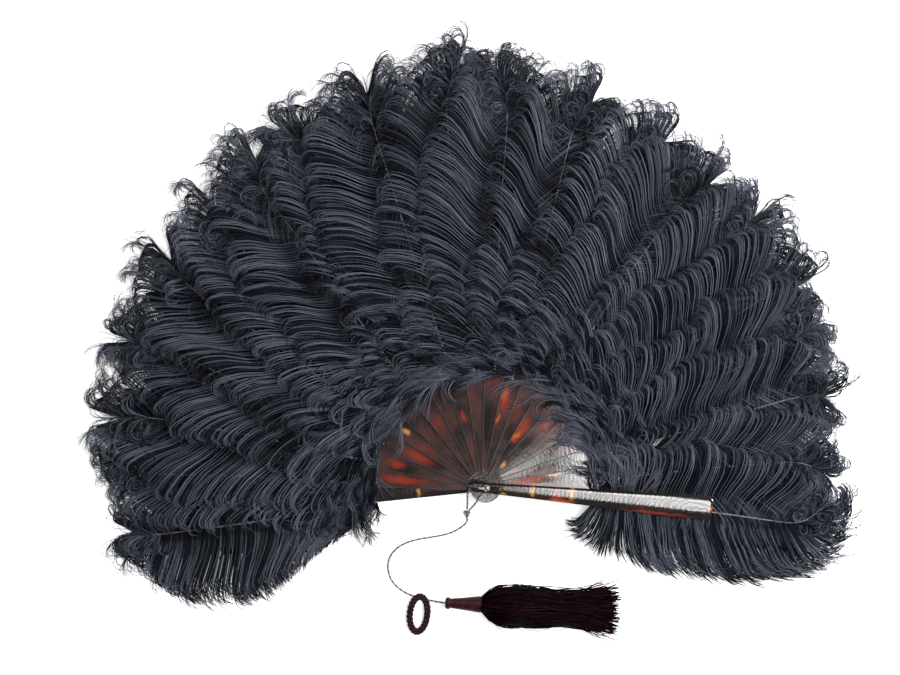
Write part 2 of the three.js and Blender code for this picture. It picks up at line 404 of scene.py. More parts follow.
def fibre_tone_group() -> bpy.types.NodeTree:
    """Group that colours a strand from its tone, painted shade and highlights included, with soft patches over
    the whole piece.

    Returns:
        The group, with inputs Dark, Light and Patch and outputs Color and Roughness.
    """
    tree = node_group("fibre_tone", {"Dark": "Color", "Light": "Color", "Patch": "Float"},
                      {"Color": "Color", "Roughness": "Float"})
    sketch = NodeSketch(tree)
    given = sketch.add("NodeGroupInput").outputs
    tone = sketch.add("Attribute", attribute_name="tone").outputs["Fac"]
    place = sketch.add("TexCoord").outputs["Object"]
    cloud = sketch.add("TexNoise", {"Vector": place, "Scale": given["Patch"], "Detail": 2.0}).outputs["Fac"]
    shade = sketch.add("Math", {0: tone, 1: sketch.spread(cloud, 0.72, 1.28, 0.3, 0.7)}, operation="MULTIPLY")
    colour = sketch.mixed(shade.outputs[0], given["Dark"], given["Light"])
    rough = sketch.spread(cloud, 0.42, 0.58, 0.3, 0.7)
    sketch.add("NodeGroupOutput", {"Color": colour, "Roughness": rough})
    return tree


def amber_patch_group() -> bpy.types.NodeTree:
    """Group that lays one glowing patch over the colour beneath it.

    Returns:
        The group, with inputs Under, Place, Centre, Size and Glow and the output Color.
    """
    tree = node_group("amber_patch", {"Under": "Color", "Place": "Vector", "Centre": "Vector", "Size": "Vector",
                                      "Glow": "Color"}, {"Color": "Color"})
    sketch = NodeSketch(tree)
    given = sketch.add("NodeGroupInput").outputs
    away = sketch.add("VectorMath", {0: given["Place"], 1: given["Centre"]}, operation="SUBTRACT").outputs[0]
    scaled = sketch.add("VectorMath", {0: away, 1: given["Size"]}, operation="DIVIDE").outputs[0]
    far = sketch.add("VectorMath", {0: scaled}, operation="LENGTH").outputs["Value"]
    mask = sketch.spread(far, 0.9, 0.0, 0.1, 1.3)
    sketch.add("NodeGroupOutput", {"Color": sketch.mixed(mask, given["Under"], given["Glow"])})
    return tree


@dataclass(frozen=True)
class Finish:
    """A procedural material for one kind of surface."""

    name: str

    def material(self) -> bpy.types.Material:
        """Makes the material.

        Returns:
            The finished material.
        """
        made = bpy.data.materials.new(self.name)
        made.use_nodes = True
        sketch = NodeSketch(made.node_tree)
        shader = sketch.add("BsdfPrincipled")
        self.dress(sketch, shader)
        sketch.add("OutputMaterial", {"Surface": shader.outputs["BSDF"]})
        return made

    def dress(self, sketch: NodeSketch, shader: bpy.types.Node) -> None:
        """Draws the nodes that feed the shader.

        Args:
            sketch: Hand that draws in the material's tree.
            shader: The shader to feed.
        """
        raise NotImplementedError


@dataclass(frozen=True)
class FibreFinish(Finish):
    """Feather barbs, silk or cord: colour from each strand's tone, which on some pieces carries painted shade and
    highlights.
    """

    group: bpy.types.NodeTree
    dark: tuple[float, float, float]
    light: tuple[float, float, float]
    patch: float = 30.0
    specular: float = 0.5

    def dress(self, sketch: NodeSketch, shader: bpy.types.Node) -> None:
        """Draws the nodes that feed the shader.

        Args:
            sketch: Hand that draws in the material's tree.
            shader: The shader to feed.
        """
        fibre = sketch.add("Group", node_tree=self.group)
        fibre.inputs["Dark"].default_value = (*self.dark, 1.0)
        fibre.inputs["Light"].default_value = (*self.light, 1.0)
        fibre.inputs["Patch"].default_value = self.patch
        sketch.tree.links.new(fibre.outputs["Color"], shader.inputs["Base Color"])
        sketch.tree.links.new(fibre.outputs["Roughness"], shader.inputs["Roughness"])
        shader.inputs["Specular IOR Level"].default_value = self.specular


@dataclass(frozen=True)
class Patch:
    """A glowing place in one blade, in millimetres along and across it."""

    blade: int
    along: float
    across: float
    length: float
    width: float
    glow: Glow


@dataclass(frozen=True)
class ShellFinish(Finish):
    """Polished tortoiseshell, mottled along each blade, with a fine ripple left by the scraper and a
    painted-shade line along each stick's visible edge.
    """

    group: bpy.types.NodeTree
    patches: tuple[Patch, ...]
    stops: Points
    shaded_edge_start: float
    shaded_edge_slope: float
    ripple: float
    scrape: float
    step: float = 0.1

    def dress(self, sketch: NodeSketch, shader: bpy.types.Node) -> None:
        """Draws the nodes that feed the shader.

        Args:
            sketch: Hand that draws in the material's tree.
            shader: The shader to feed.
        """
        place = sketch.add("Attribute", attribute_name="blade_place").outputs["Vector"]
        rough_place = sketch.add("TexNoise", {"Vector": place, "Scale": 130.0, "Detail": 3.0}).outputs["Color"]
        centred = sketch.add("VectorMath", {0: rough_place, 1: (0.5, 0.5, 0.5)},
                             operation="SUBTRACT").outputs[0]
        shifted = sketch.add("VectorMath", {0: centred, 1: (0.009, 0.006, 0.0), 2: place},
                             operation="MULTIPLY_ADD").outputs[0]
        stretched = sketch.add("Mapping", {"Vector": shifted, "Scale": (0.55, 1.0, 7.0)}).outputs[0]
        mottle = sketch.add("TexNoise", {"Vector": stretched, "Scale": 48.0, "Detail": 4.0, "Roughness": 0.55})
        colour = sketch.colours(mottle.outputs["Fac"], self.stops)
        for patch in self.patches:
            layer = sketch.add("Group", {"Under": colour, "Place": shifted}, node_tree=self.group)
            centre = (patch.along * MM, patch.across * MM, patch.blade * self.step)
            layer.inputs["Centre"].default_value = centre
            layer.inputs["Size"].default_value = (patch.length * MM / 2, patch.width * MM / 2, self.step / 2)
            layer.inputs["Glow"].default_value = patch.glow.value
            colour = layer.outputs["Color"]
        # Painted shade: a near-black band along the visible edge of each stick, where it lies over the stick
        # beneath; the band is also made rougher.
        axes = sketch.add("SeparateXYZ", {"Vector": place}).outputs
        inside = sketch.add("Math", {0: axes["X"], 1: -self.shaded_edge_slope, 2: axes["Y"]}, operation="MULTIPLY_ADD")
        edge = sketch.spread(inside.outputs[0], 0.0, 0.9, self.shaded_edge_start - 0.0008, self.shaded_edge_start - 0.0003)
        colour = sketch.mixed(edge, colour, (0.002, 0.0015, 0.0015, 1.0))
        sketch.tree.links.new(colour, shader.inputs["Base Color"])
        haze = sketch.add("TexNoise", {"Vector": stretched, "Scale": 90.0, "Detail": 2.0}).outputs["Fac"]
        around = sketch.add("VectorMath", {0: shifted, 1: (0.19, -0.02, 0.0)},
                            operation="SUBTRACT").outputs[0]
        waves = {"Vector": around, "Scale": 85.0, "Distortion": 3.0, "Detail": 2.0, "Detail Scale": 2.0}
        ripple = sketch.add("TexWave", waves, wave_type="RINGS", rings_direction="Z").outputs["Fac"]
        scraped = sketch.add("Math", {0: ripple, 1: self.scrape, 2: sketch.spread(haze, 0.06, 0.13, 0.3, 0.7)},
                             operation="MULTIPLY_ADD")
        matt = sketch.add("Math", {0: edge, 1: 0.5, 2: scraped.outputs[0]}, operation="MULTIPLY_ADD").outputs[0]
        sketch.tree.links.new(matt, shader.inputs["Roughness"])
        sketch.tree.links.new(sketch.bump(ripple, self.ripple * MM, 0.4), shader.inputs["Normal"])
        shader.inputs["IOR"].default_value = 1.56


@dataclass(frozen=True)
class GiltFinish(Finish):
    """Worn gilt metal."""

    def dress(self, sketch: NodeSketch, shader: bpy.types.Node) -> None:
        """Draws the nodes that feed the shader.

        Args:
            sketch: Hand that draws in the material's tree.
            shader: The shader to feed.
        """
        place = sketch.add("TexCoord").outputs["Object"]
        wear = sketch.add("TexNoise", {"Vector": place, "Scale": 700.0, "Detail": 4.0}).outputs["Fac"]
        worn = (0.35, 0.07, 0.055, 0.04), (0.5, 0.24, 0.20, 0.15), (0.7, 0.42, 0.39, 0.33)
        colour = sketch.colours(wear, worn)
        sketch.tree.links.new(colour, shader.inputs["Base Color"])
        sketch.tree.links.new(sketch.spread(wear, 0.45, 0.22, 0.3, 0.7), shader.inputs["Roughness"])
        sketch.tree.links.new(sketch.bump(wear, 0.00008, 0.4), shader.inputs["Normal"])
        shader.inputs["Metallic"].default_value = 1.0


@dataclass(frozen=True)
class QuillFinish(Finish):
    """Dyed horny quill, greyer where it is scraped."""

    def dress(self, sketch: NodeSketch, shader: bpy.types.Node) -> None:
        """Draws the nodes that feed the shader.

        Args:
            sketch: Hand that draws in the material's tree.
            shader: The shader to feed.
        """
        place = sketch.add("TexCoord").outputs["Object"]
        streak = sketch.add("TexNoise", {"Vector": place, "Scale": 160.0, "Detail": 3.0}).outputs["Fac"]
        colour = sketch.colours(streak, ((0.35, 0.05, 0.05, 0.055), (0.65, 0.19, 0.19, 0.195)))
        sketch.tree.links.new(colour, shader.inputs["Base Color"])
        sketch.tree.links.new(sketch.spread(streak, 0.3, 0.5, 0.3, 0.7), shader.inputs["Roughness"])


@dataclass(frozen=True)
class WrapFinish(Finish):
    """Silk thread wound over the tassel's wooden head."""

    turn: float

    def dress(self, sketch: NodeSketch, shader: bpy.types.Node) -> None:
        """Draws the nodes that feed the shader.

        Args:
            sketch: Hand that draws in the material's tree.
            shader: The shader to feed.
        """
        place = sketch.add("TexCoord").outputs["Object"]
        along = sketch.add("Mapping", {"Vector": place, "Rotation": (0.0, 0.0, -self.turn)}).outputs[0]
        thread = sketch.add("TexWave", {"Vector": along, "Scale": 330.0, "Distortion": 0.6, "Detail": 1.0},
                            bands_direction="X").outputs["Fac"]
        cloud = sketch.add("TexNoise", {"Vector": place, "Scale": 160.0, "Detail": 3.0}).outputs["Fac"]
        colour = sketch.colours(cloud, ((0.3, 0.010, 0.0014, 0.0026), (0.55, 0.032, 0.0046, 0.008),
                                        (0.75, 0.058, 0.012, 0.017)))
        # Painted shade in the grooves between the wound threads: the colour is darkened where the thread wave is
        # low.
        painted_groove_shade = sketch.colours(thread, ((0.0, 0.25, 0.25, 0.25), (0.6, 1.0, 1.0, 1.0)))
        shaded = sketch.mixed(0.55, colour, painted_groove_shade, "MULTIPLY")
        sketch.tree.links.new(shaded, shader.inputs["Base Color"])
        sketch.tree.links.new(sketch.spread(cloud, 0.35, 0.6, 0.3, 0.7), shader.inputs["Roughness"])
        sketch.tree.links.new(sketch.bump(thread, 0.00025, 0.8), shader.inputs["Normal"])
        shader.inputs["Specular IOR Level"].default_value = 0.1


@dataclass(frozen=True)
class FloorFinish(Finish):
    """Pale studio sweep with the faintest mottle."""

    def dress(self, sketch: NodeSketch, shader: bpy.types.Node) -> None:
        """Draws the nodes that feed the shader.

        Args:
            sketch: Hand that draws in the material's tree.
            shader: The shader to feed.
        """
        place = sketch.add("TexCoord").outputs["Object"]
        cloud = sketch.add("TexNoise", {"Vector": place, "Scale": 3.0, "Detail": 2.0}).outputs["Fac"]
        colour = sketch.colours(cloud, ((0.3, 0.93, 0.93, 0.93), (0.7, 0.95, 0.95, 0.95)))
        sketch.tree.links.new(colour, shader.inputs["Base Color"])
        shader.inputs["Roughness"].default_value = 0.9
        shader.inputs["Specular IOR Level"].default_value = 0.1
        shader.inputs["Emission Color"].default_value = (1.0, 1.0, 1.0, 1.0)
        shader.inputs["Emission Strength"].default_value = 0.55


@dataclass(frozen=True)
class Spread:
    """How the sticks and plumes lie about the rivet, in degrees and millimetres."""

    sticks: int = 18
    front_angle: float = -5.4
    open_angle: float = 189.4
    plume_front_angle: float = -6.0
    plume_open_angle: float = 194.5
    rear_guard_room: Points = ((16, 2.4), (205, 1.6), (420, 0.3))
    pitch: Points = ((16, 0.95), (97, 0.75), (420, 0.4))
    cord_room: Points = ((18, 2.1), (97, 0.0))

    @property
    def front(self) -> int:
        """Number of the front guard, counted from the rear guard at 0."""
        return self.sticks + 1

    def stick_turn(self, k: int) -> float:
        """Angle of stick or guard k."""
        return self.front_angle + self.open_angle * (self.front - k) / self.front

    def plume_turn(self, k: int) -> float:
        """Angle of plume k."""
        return self.plume_front_angle + self.plume_open_angle * (self.front - k) / self.front

    def floor(self, k: int, r: np.ndarray) -> np.ndarray:
        """Height of layer k at distances from the rivet, in millimetres."""
        cord = ramp(self.cord_room, r) if k == self.front else 0.0
        return ramp(self.rear_guard_room, r) + k * ramp(self.pitch, r) + cord

    def body(self, k: int) -> str:
        """Name of the body that stick or guard k belongs to."""
        return {0: "rear_guard", self.front: "front_guard"}.get(k, f"stick_{k:02d}")

    def place(self, k: int) -> str:
        """Last word of the names of the pieces at k."""
        return {0: "rear", self.front: "front"}.get(k, f"{k:02d}")


@dataclass(frozen=True)
class Habit:
    """How the barbs of one half of a plume grow. Each ramp runs from the quill's foot at 0 to its tip at 1.

    Angles are in degrees from the quill's own heading. A barb leaves at its lean, dips towards the tip, bends
    back and ends in a hook.
    """

    count: int
    crowding: float
    lock_spacing: float
    strand_spacing: float
    length: float
    lean: Points
    dip: Points
    back: Points
    hook: Points
    hook_start: Points
    tight: Points
    gather: Points
    # The next field is the share of barbs laid as wide near-black ribbons under the others, painted shade for the
    # gaps between strands; the last gives how far a black sheet of painted shade reaches under the barbs, as a
    # share of barb length.
    shade_backing: float
    shade_sheet: Points


HABITS = {
    Half.OVER: Habit(
        count=660, crowding=0.72, lock_spacing=8.0, strand_spacing=2.5, length=1.0,
        lean=((0, 96), (0.12, 86), (0.3, 78), (0.65, 75), (0.8, 64), (0.92, 50), (1, 28)),
        dip=((0, 10), (0.2, 32), (0.7, 36), (0.9, 26), (1, 12)),
        back=((0, 0), (0.2, 22), (0.6, 28), (0.85, 12), (1, 8)),
        hook=((0, 60), (0.15, 100), (0.3, 135), (0.75, 150), (0.9, 190), (1, 230)),
        hook_start=((0, 0.58), (0.2, 0.72), (0.35, 0.8), (0.75, 0.78), (0.92, 0.58), (1, 0.45)),
        tight=((0, 0.6), (0.2, 0.42), (0.4, 0.36), (0.8, 0.3), (1, 0.3)),
        gather=((0.02, 0), (0.2, 0.9)),
        shade_backing=0.28,
        shade_sheet=((0, 0.3), (0.12, 0.45), (0.25, 0.6), (0.75, 0.62), (0.9, 0.45), (1, 0.15))),
    Half.UNDER: Habit(
        count=420, crowding=0.5, lock_spacing=8.0, strand_spacing=2.5, length=1.0,
        lean=((0, 80), (0.6, 72), (0.8, 62), (0.92, 48), (1, 28)),
        dip=((0, 20), (0.7, 32), (1, 12)),
        back=((0, 10), (1, 10)),
        hook=((0, 50), (0.6, 90), (0.85, 170), (1, 230)),
        hook_start=((0, 0.75), (0.7, 0.75), (0.92, 0.55), (1, 0.45)),
        tight=((0, 0.3), (1, 0.35)),
        gather=((0.02, 0), (0.2, 0.9)),
        shade_backing=0.28,
        shade_sheet=((0, 0.4), (0.55, 0.6), (0.75, 0.6), (0.9, 0.45), (1, 0.15))),
    Half.FRONT_EDGE: Habit(
        count=1500, crowding=1.05, lock_spacing=20.0, strand_spacing=1.7, length=1.06,
        lean=((0, 122), (0.06, 102), (0.12, 90), (0.3, 84), (0.6, 76), (0.85, 62), (1, 26)),
        dip=((0, -8), (0.1, 4), (0.3, 14), (0.7, 22), (1, 6)),
        back=((0, 0), (1, 0)),
        hook=((0, 70), (0.06, 30), (0.12, -45), (0.5, -50), (0.8, -60), (1, -120)),
        hook_start=((0, 0.55), (0.5, 0.62), (1, 0.5)),
        tight=((0, 0.6), (0.2, 0.5), (0.34, 0.15), (1, 0.1)),
        gather=((0.1, 0), (0.5, 0.85)),
        shade_backing=0.6,
        shade_sheet=((0, 0.15), (0.3, 0.25), (0.42, 0.4), (0.85, 0.4), (1, 0.25))),
    Half.REAR_EDGE: Habit(
        count=1500, crowding=1.0, lock_spacing=6.0, strand_spacing=1.7, length=0.86,
        lean=((0, 64), (0.15, 70), (0.3, 80), (0.42, 86), (0.75, 88), (0.9, 70), (1, 36)),
        dip=((0, 24), (0.2, 24), (0.4, 22), (0.8, 20), (1, 0)),
        back=((0, 0), (1, 0)),
        hook=((0, 20), (0.3, 60), (0.7, 95), (1, 200)),
        hook_start=((0, 0.7), (0.8, 0.68), (1, 0.4)),
        tight=((0, 0.3), (1, 0.15)),
        gather=((0.1, 0), (0.5, 0.85)),
        shade_backing=0.6,
        shade_sheet=((0, 0.3), (0.2, 0.4), (0.8, 0.42), (1, 0.25))),
}


@dataclass
class Plume:
    """One ostrich plume: a quill, a thin black sheet beside it that is painted shade, and barbs in strands that
    hook over at the end.
    """

    spread: Spread
    k: int
    mesh: MeshParts = field(default_factory=MeshParts)
    root: float = 99.0
    longest: int = 9
    reach_rear: float = 348.0
    reach_middle: float = 401.0
    reach_front: float = 324.0
    blunt: float = 19.0
    stations: int = 14
    tuft_count: int = 260
    fluff_count: int = 230
    barb_width: float = 0.4
    # Width of the near-black ribbons that are painted shade under the strands.
    shade_backing_width: float = 0.95
    crest: float = 9.0
    barb_lengths: Points = ((0, 44), (0.06, 58), (0.2, 76), (0.45, 90), (0.7, 88), (0.85, 78), (1, 54))

    def __post_init__(self) -> None:
        """Draws the quill's line."""
        self.rng = rng = np.random.default_rng(4100 + self.k)
        low = self.k < self.longest
        share = abs(self.k - self.longest) / (self.longest if low else self.spread.front - self.longest)
        drop = self.reach_middle - (self.reach_rear if low else self.reach_front)
        self.reach = self.reach_middle - drop * share**0.9 + rng.uniform(-7, 3)
        self.length = self.reach - self.root - self.blunt
        self.scale = self.reach / self.reach_middle
        edge = self.k in (0, self.spread.front)
        self.turn = self.spread.plume_turn(self.k) + (0.0 if edge else rng.uniform(-0.9, 0.9))
        self.lean_more = rng.uniform(-12, 4) + 10.0 * smooth((self.k - 10) / 4)
        self.dip_share = rng.uniform(0.7, 1.25)
        self.dip_end = rng.uniform(0.36, 0.54)
        self.wide = rng.uniform(0.9, 1.08)
        self.s = np.linspace(0, 1, 161)
        self.t = np.interp(np.linspace(0, 1, self.stations), (0, 0.46, 1), (0, 0.7, 1))
        curl = 58.0 if self.k == self.spread.front else rng.choice([-1, 1]) * rng.uniform(10, 42)
        sway = 3.0 * wander(rng, self.s, 0.35) * smooth(self.s / 0.2)
        self.heading = np.radians(sway + curl * smooth((self.s - 0.75) / 0.25) ** 2)
        step = self.length / (len(self.s) - 1)
        u = self.root + np.concatenate([[0], np.cumsum(np.cos(self.heading[:-1]) * step)])
        v = np.concatenate([[0], np.cumsum(np.sin(self.heading[:-1]) * step)])
        self.quill = np.stack([u, v, self.spread.floor(self.k, np.hypot(u, v)) + 0.5], -1)

    def locks(self, s: np.ndarray, spacing: float) -> tuple[np.ndarray, np.ndarray]:
        """Gathers barbs into locks of uneven size.

        Args:
            s: Shares of the quill's length where the barbs grow.
            spacing: Mean length of quill to a lock, in millimetres.

        Returns:
            The number of each barb's lock, and the share of the quill at that lock's middle.
        """
        count = max(int(self.length / spacing), 2)
        edges = np.cumsum(self.rng.uniform(0.6, 1.4, count))
        edges = np.concatenate([[0], edges / edges[-1]])
        number = np.clip(np.searchsorted(edges, s, side="right") - 1, 0, count - 1)
        return number, ((edges[:-1] + edges[1:]) / 2)[number]

    def trail(self, s: np.ndarray, side: int, t: np.ndarray, long: np.ndarray, turn: np.ndarray,
              shift: np.ndarray | float = 0.0) -> tuple[np.ndarray, np.ndarray]:
        """Follows barbs out from the quill.

        Args:
            s: Share of the quill's length where each grows.
            side: 1 for the left of the quill, -1 for the right.
            t: Shares of a barb's length at its stations.
            long: Length of each barb in millimetres.
            turn: Heading from the quill's own at each barb and station, in degrees.
            shift: Slide along the quill at each barb and station, in millimetres.

        Returns:
            The points, at the height of the quill, and their distance out from it, in millimetres.
        """
        middle = np.radians((turn[:, 1:] + turn[:, :-1]) / 2)
        step = long[:, None] * np.diff(t)[None, :]
        start = np.zeros((len(s), 1))
        forward = np.concatenate([start, np.cumsum(np.cos(middle) * step, 1)], 1) + shift
        out = np.concatenate([start, np.cumsum(np.sin(middle) * step, 1)], 1)
        base = np.stack([np.interp(s, self.s, self.quill[:, i]) for i in range(3)], -1)
        heading = np.interp(s, self.s, self.heading)[:, None]
        u = base[:, 0:1] + forward * np.cos(heading) - side * out * np.sin(heading)
        v = base[:, 1:2] + forward * np.sin(heading) + side * out * np.cos(heading)
        return np.stack([u, v, np.repeat(base[:, 2:3], len(t), 1)], -1), out

    def lay(self, paths: np.ndarray, width: np.ndarray, roll: np.ndarray, tone: np.ndarray) -> None:
        """Adds barbs as fine ribbons.

        Args:
            paths: Points by barb and station, in millimetres in the plume's own frame.
            width: Width at each barb and station.
            roll: Roll of the ribbon at each barb and station.
            tone: Tone of each barb, or at each of its stations.
        """
        paths[..., 2] = np.maximum(paths[..., 2], 0.5)
        vertices, quads = ribbons(turned(paths, self.turn) * MM, width * MM, roll)
        shades = np.broadcast_to(tone.reshape(len(paths), -1, 1), (*paths.shape[:2], 2))
        self.mesh.add(vertices, quads, shades.ravel())

    def lengths(self, s: np.ndarray, habit: Habit) -> np.ndarray:
        """Length of the barbs, in millimetres.

        Args:
            s: Shares of the quill's length where they grow.
            habit: How they grow.

        Returns:
            The length of each barb.
        """
        return self.wide * self.scale * habit.length * ramp(self.barb_lengths, s)

    def sweep(self, s: np.ndarray, t: np.ndarray, role: Half, sway: np.ndarray | float = 0.0) -> np.ndarray:
        """Heading of barbs from the quill's own, up to their hooks.

        Args:
            s: Shares of the quill's length where the barbs grow.
            t: Shares of a barb's length, for all barbs or for each.
            role: How their half lies in the fan.
            sway: More or less of the dip at each barb, from -1 to 1.

        Returns:
            The heading at each barb and station, in degrees.
        """
        habit = HABITS[role]
        own = role in (Half.OVER, Half.UNDER)
        lean = ramp(habit.lean, s) + self.lean_more * own
        dip = ramp(habit.dip, s) * (self.dip_share if own else 1.0) * (1 + 0.35 * sway)
        back = ramp(habit.back, s)
        bent = back[:, None] * smooth((t - 0.42) / 0.34)
        return lean[:, None] - dip[:, None] * smooth(t / self.dip_end) + bent

    def half(self, side: int, role: Half) -> None:
        """Grows the barbs of one half.

        Args:
            side: 1 for the left of the quill seen from above with the tip up, -1 for the right.
            role: How this half lies in the fan.
        """
        rng, t, habit = self.rng, self.t, HABITS[role]
        n = habit.count
        s = np.sort(rng.uniform(0.0, 1.0, n)) ** habit.crowding
        lock, lock_s = self.locks(s, habit.lock_spacing)
        strand, strand_s = self.locks(s, habit.strand_spacing)
        stray = rng.uniform(0, 1, n) < ramp(((0, 0.05), (0.6, 0.03), (1, 0.08)), s)
        # A share of the barbs are wide near-black ribbons laid low under the others: painted shade that darkens
        # the gaps between the strands.
        shade_backing = rng.uniform(0, 1, n) < habit.shade_backing * ~stray
        free = role in (Half.FRONT_EDGE, Half.REAR_EDGE)
        a = rng.uniform(-1, 1, (4, int(lock.max()) + 1))[:, lock] * np.where(shade_backing, 0.4, 1.0)
        b = rng.uniform(-1, 1, (5, int(strand.max()) + 1))[:, strand] * ~shade_backing
        slow = np.stack([wander(rng, s * self.length, 32.0) for _ in range(4)])
        rogue = np.where((np.abs(a[0]) > 0.88) & (not free), a[1], 0.0)
        foot = smooth((0.26 - s) / 0.2) * (role is Half.OVER)
        tip = smooth((s - 0.74) / 0.2)
        uneven = 0.09 * slow[0] + 0.04 * a[0] + 0.05 * b[0] + rng.normal(0, 0.02 + 0.06 * free, n)
        long = self.lengths(s, habit) * (1 + uneven) * np.where(shade_backing, 1 - 0.2 * tip, 1.0)
        lean = 6 * slow[1] + (1.3 + 14 * foot) * a[1] + 9 * rogue + (0.7 + 4 * tip) * b[1]
        lean = lean + rng.normal(0, 0.25 + 1.2 * tip, n) + np.where(stray, rng.normal(0, 12, n), 0.0)
        hook = ramp(habit.hook, s) * (1 + 0.25 * slow[3] + 0.3 * a[2] + (0.15 + 0.3 * tip) * b[2])
        hook = hook + rng.normal(0, 5 + 12 * tip, n) + foot * 80 * a[2] + 50 * rogue
        hook = hook + np.where(stray, rng.normal(0, 70, n), 0.0)
        start = (ramp(habit.hook_start, s) + 0.05 * slow[0] + 0.03 * a[3] + (0.025 + 0.1 * tip) * b[3])[:, None]
        turn = self.sweep(s, t, role, slow[2]) + lean[:, None]
        turn = turn + hook[:, None] * smooth((t - start) / (1.04 - start))
        gather = np.where(stray | shade_backing, 0.1, 1.0 - 0.2 * tip)[:, None] * ramp(habit.gather, t)
        own = s[:, None] + (strand_s - s)[:, None] * gather
        tight = np.where(stray | shade_backing, 0.1, ramp(habit.tight, s) * (1 + 0.6 * a[3]))[:, None]
        tight = tight * smooth((t - 0.4) / 0.5)
        own = own + (lock_s[:, None] - own) * tight
        paths, out = self.trail(s, side, t, long, turn, (own - s[:, None]) * self.length)
        fullness = 0.5 + 0.25 * slow[2] + 0.15 * a[0] + 0.1 * b[0]
        paths[..., 2] += self.rise(role, t, out, s, fullness, paths)
        loose = rng.normal(0, 0.3, n) + 0.6 * b[1] + np.where(stray, 1.5, 0.0) - np.where(shade_backing, 1.3, 0.0)
        paths[..., 2] += loose[:, None] * smooth((out - 8) / 20)
        taper = ramp(((0, 0.8), (0.3, 1), (0.85, 0.85), (1, 0.3)), t) * (1 + 0.35 * tip[:, None])
        width = np.where(stray, 0.3, np.where(shade_backing, self.shade_backing_width, self.barb_width))[:, None] * taper
        roll = (0.6 * b[3])[:, None] + rng.uniform(-0.3, 0.3, (n, 1)) + rng.uniform(-0.4, 0.4, (n, 1)) * t
        darkest, middle = (-0.33, 0.88) if free else (-0.7, 0.78)
        tone = np.where(b[4] < darkest, 0.12, middle + 0.3 * b[4]) * rng.uniform(0.7, 1.0, n)
        # Those ribbons get a near-black tone: painted shade.
        tone = np.where(shade_backing, 0.05, tone)
        # Painted shade and sheen along each barb: darker near the quill where it lies deep, lighter over the
        # crest, darker again at the hooked end.
        shade = ramp(((0, 0.3), (0.12, 0.4), (0.35, 0.85), (0.7, 1.15), (0.9, 1.15), (1, 0.8)), t)
        self.lay(paths, width, roll, tone[:, None] * shade)

    def rise(self, role: Half, t: np.ndarray, out: np.ndarray, s: np.ndarray, fullness: np.ndarray,
             paths: np.ndarray) -> np.ndarray:
        """Height of the barbs over the quill, in millimetres.

        Args:
            role: How the half lies in the fan.
            t: Shares of a barb's length at its stations, for all barbs or for each.
            out: Distance of each point from the quill.
            s: Share of the quill where each barb grows.
            fullness: Fullness of each barb's lock, from 0 to 1.
            paths: The points, in the plume's own frame.

        Returns:
            The height of each point.
        """
        if role is Half.UNDER:
            return 0.3 * smooth(out / 20) - 0.6 * smooth((out - 30) / 30)
        if role is not Half.OVER:
            level = self.spread.floor(self.k, np.hypot(paths[..., 0], paths[..., 1])) + 0.5
            swell = 3.0 * fullness[:, None] * np.sin(math.pi * t) * smooth((out - 13) / 12)
            return (1.6 - level) * smooth((out - 8) / 52) + swell
        high = self.crest * ramp(((0, 0.4), (0.15, 0.65), (0.35, 1.0), (0.85, 0.9), (1, 0.5)), s)
        high = high * (0.65 + 0.7 * fullness)
        fall = 1.0 - (0.3 + 0.5 * fullness[:, None]) * smooth((t - 0.8) / 0.2)
        return 0.04 * out + high[:, None] * smooth((out - 9) / 40) * fall

    def shade_sheet(self, side: int, role: Half) -> None:
        """Lays a thin black sheet that backs the barbs of one half: painted shade that darkens the gaps between
        the strands.

        Args:
            side: 1 for the left of the quill, -1 for the right.
            role: How this half lies in the fan.
        """
        s = np.linspace(0.02, 1.0, 80)
        across = np.linspace(0, 1, 9)
        ragged = 1 + 0.12 * wander(self.rng, s, 0.03) + self.rng.uniform(-0.2, 0.2, len(s))
        part = ramp(HABITS[role].shade_sheet, s) * ragged
        t = across[None, :] * part[:, None]
        paths, out = self.trail(s, side, across, self.lengths(s, HABITS[role]) * part, self.sweep(s, t, role))
        paths[..., 2] += 0.7 * self.rise(role, t, out, s, np.full(len(s), 0.3), paths) - 0.4
        paths[..., 2] = np.maximum(paths[..., 2], 0.4)
        points = turned(paths, self.turn).reshape(-1, 3) * MM
        # Tone 0, the plume's darkest colour: the sheet is painted shade.
        self.mesh.add(points, strip_quads(1, len(s), len(across), False), 0.0)

    def tuft(self) -> None:
        """Grows the blunt tuft of ringlets at the plume's tip."""
        rng, n, t = self.rng, self.tuft_count, self.t
        locks = 30
        lock = rng.integers(0, locks, n)
        a = rng.uniform(0, 1, (5, locks))[:, lock]
        s = np.minimum(0.86 + 0.14 * a[4] ** 0.6 + rng.normal(0, 0.004, n), 1.0)
        lean = -100 + 200 * (lock + 0.5) / locks + rng.normal(0, 4, n)
        hook = np.sign(lean) * (150 + 180 * a[0]) + rng.normal(0, 14, n)
        start = (0.12 + 0.3 * a[3])[:, None]
        turn = lean[:, None] + hook[:, None] * smooth((t - start) / (1.05 - start))
        long = (30 + 24 * a[1]) * rng.uniform(0.9, 1.08, n) * self.scale
        paths, _ = self.trail(s, 1, t, long, turn)
        swell = smooth(long[:, None] * t / 16) * (1 - 0.7 * smooth((t - 0.7) / 0.3))
        paths[..., 2] += (3 + 6 * a[2])[:, None] * swell
        paths[..., 2] += rng.normal(0, 0.8, (n, 1)) * t
        width = np.repeat(0.5 * ramp(((0, 0.8), (0.3, 1), (0.85, 0.8), (1, 0.3)), t)[None, :], n, 0)
        roll = rng.uniform(-1, 1, (n, 1)) + rng.uniform(-0.6, 0.6, (n, 1)) * t
        self.lay(paths, width, roll, rng.uniform(0, 1, n) ** 1.6)

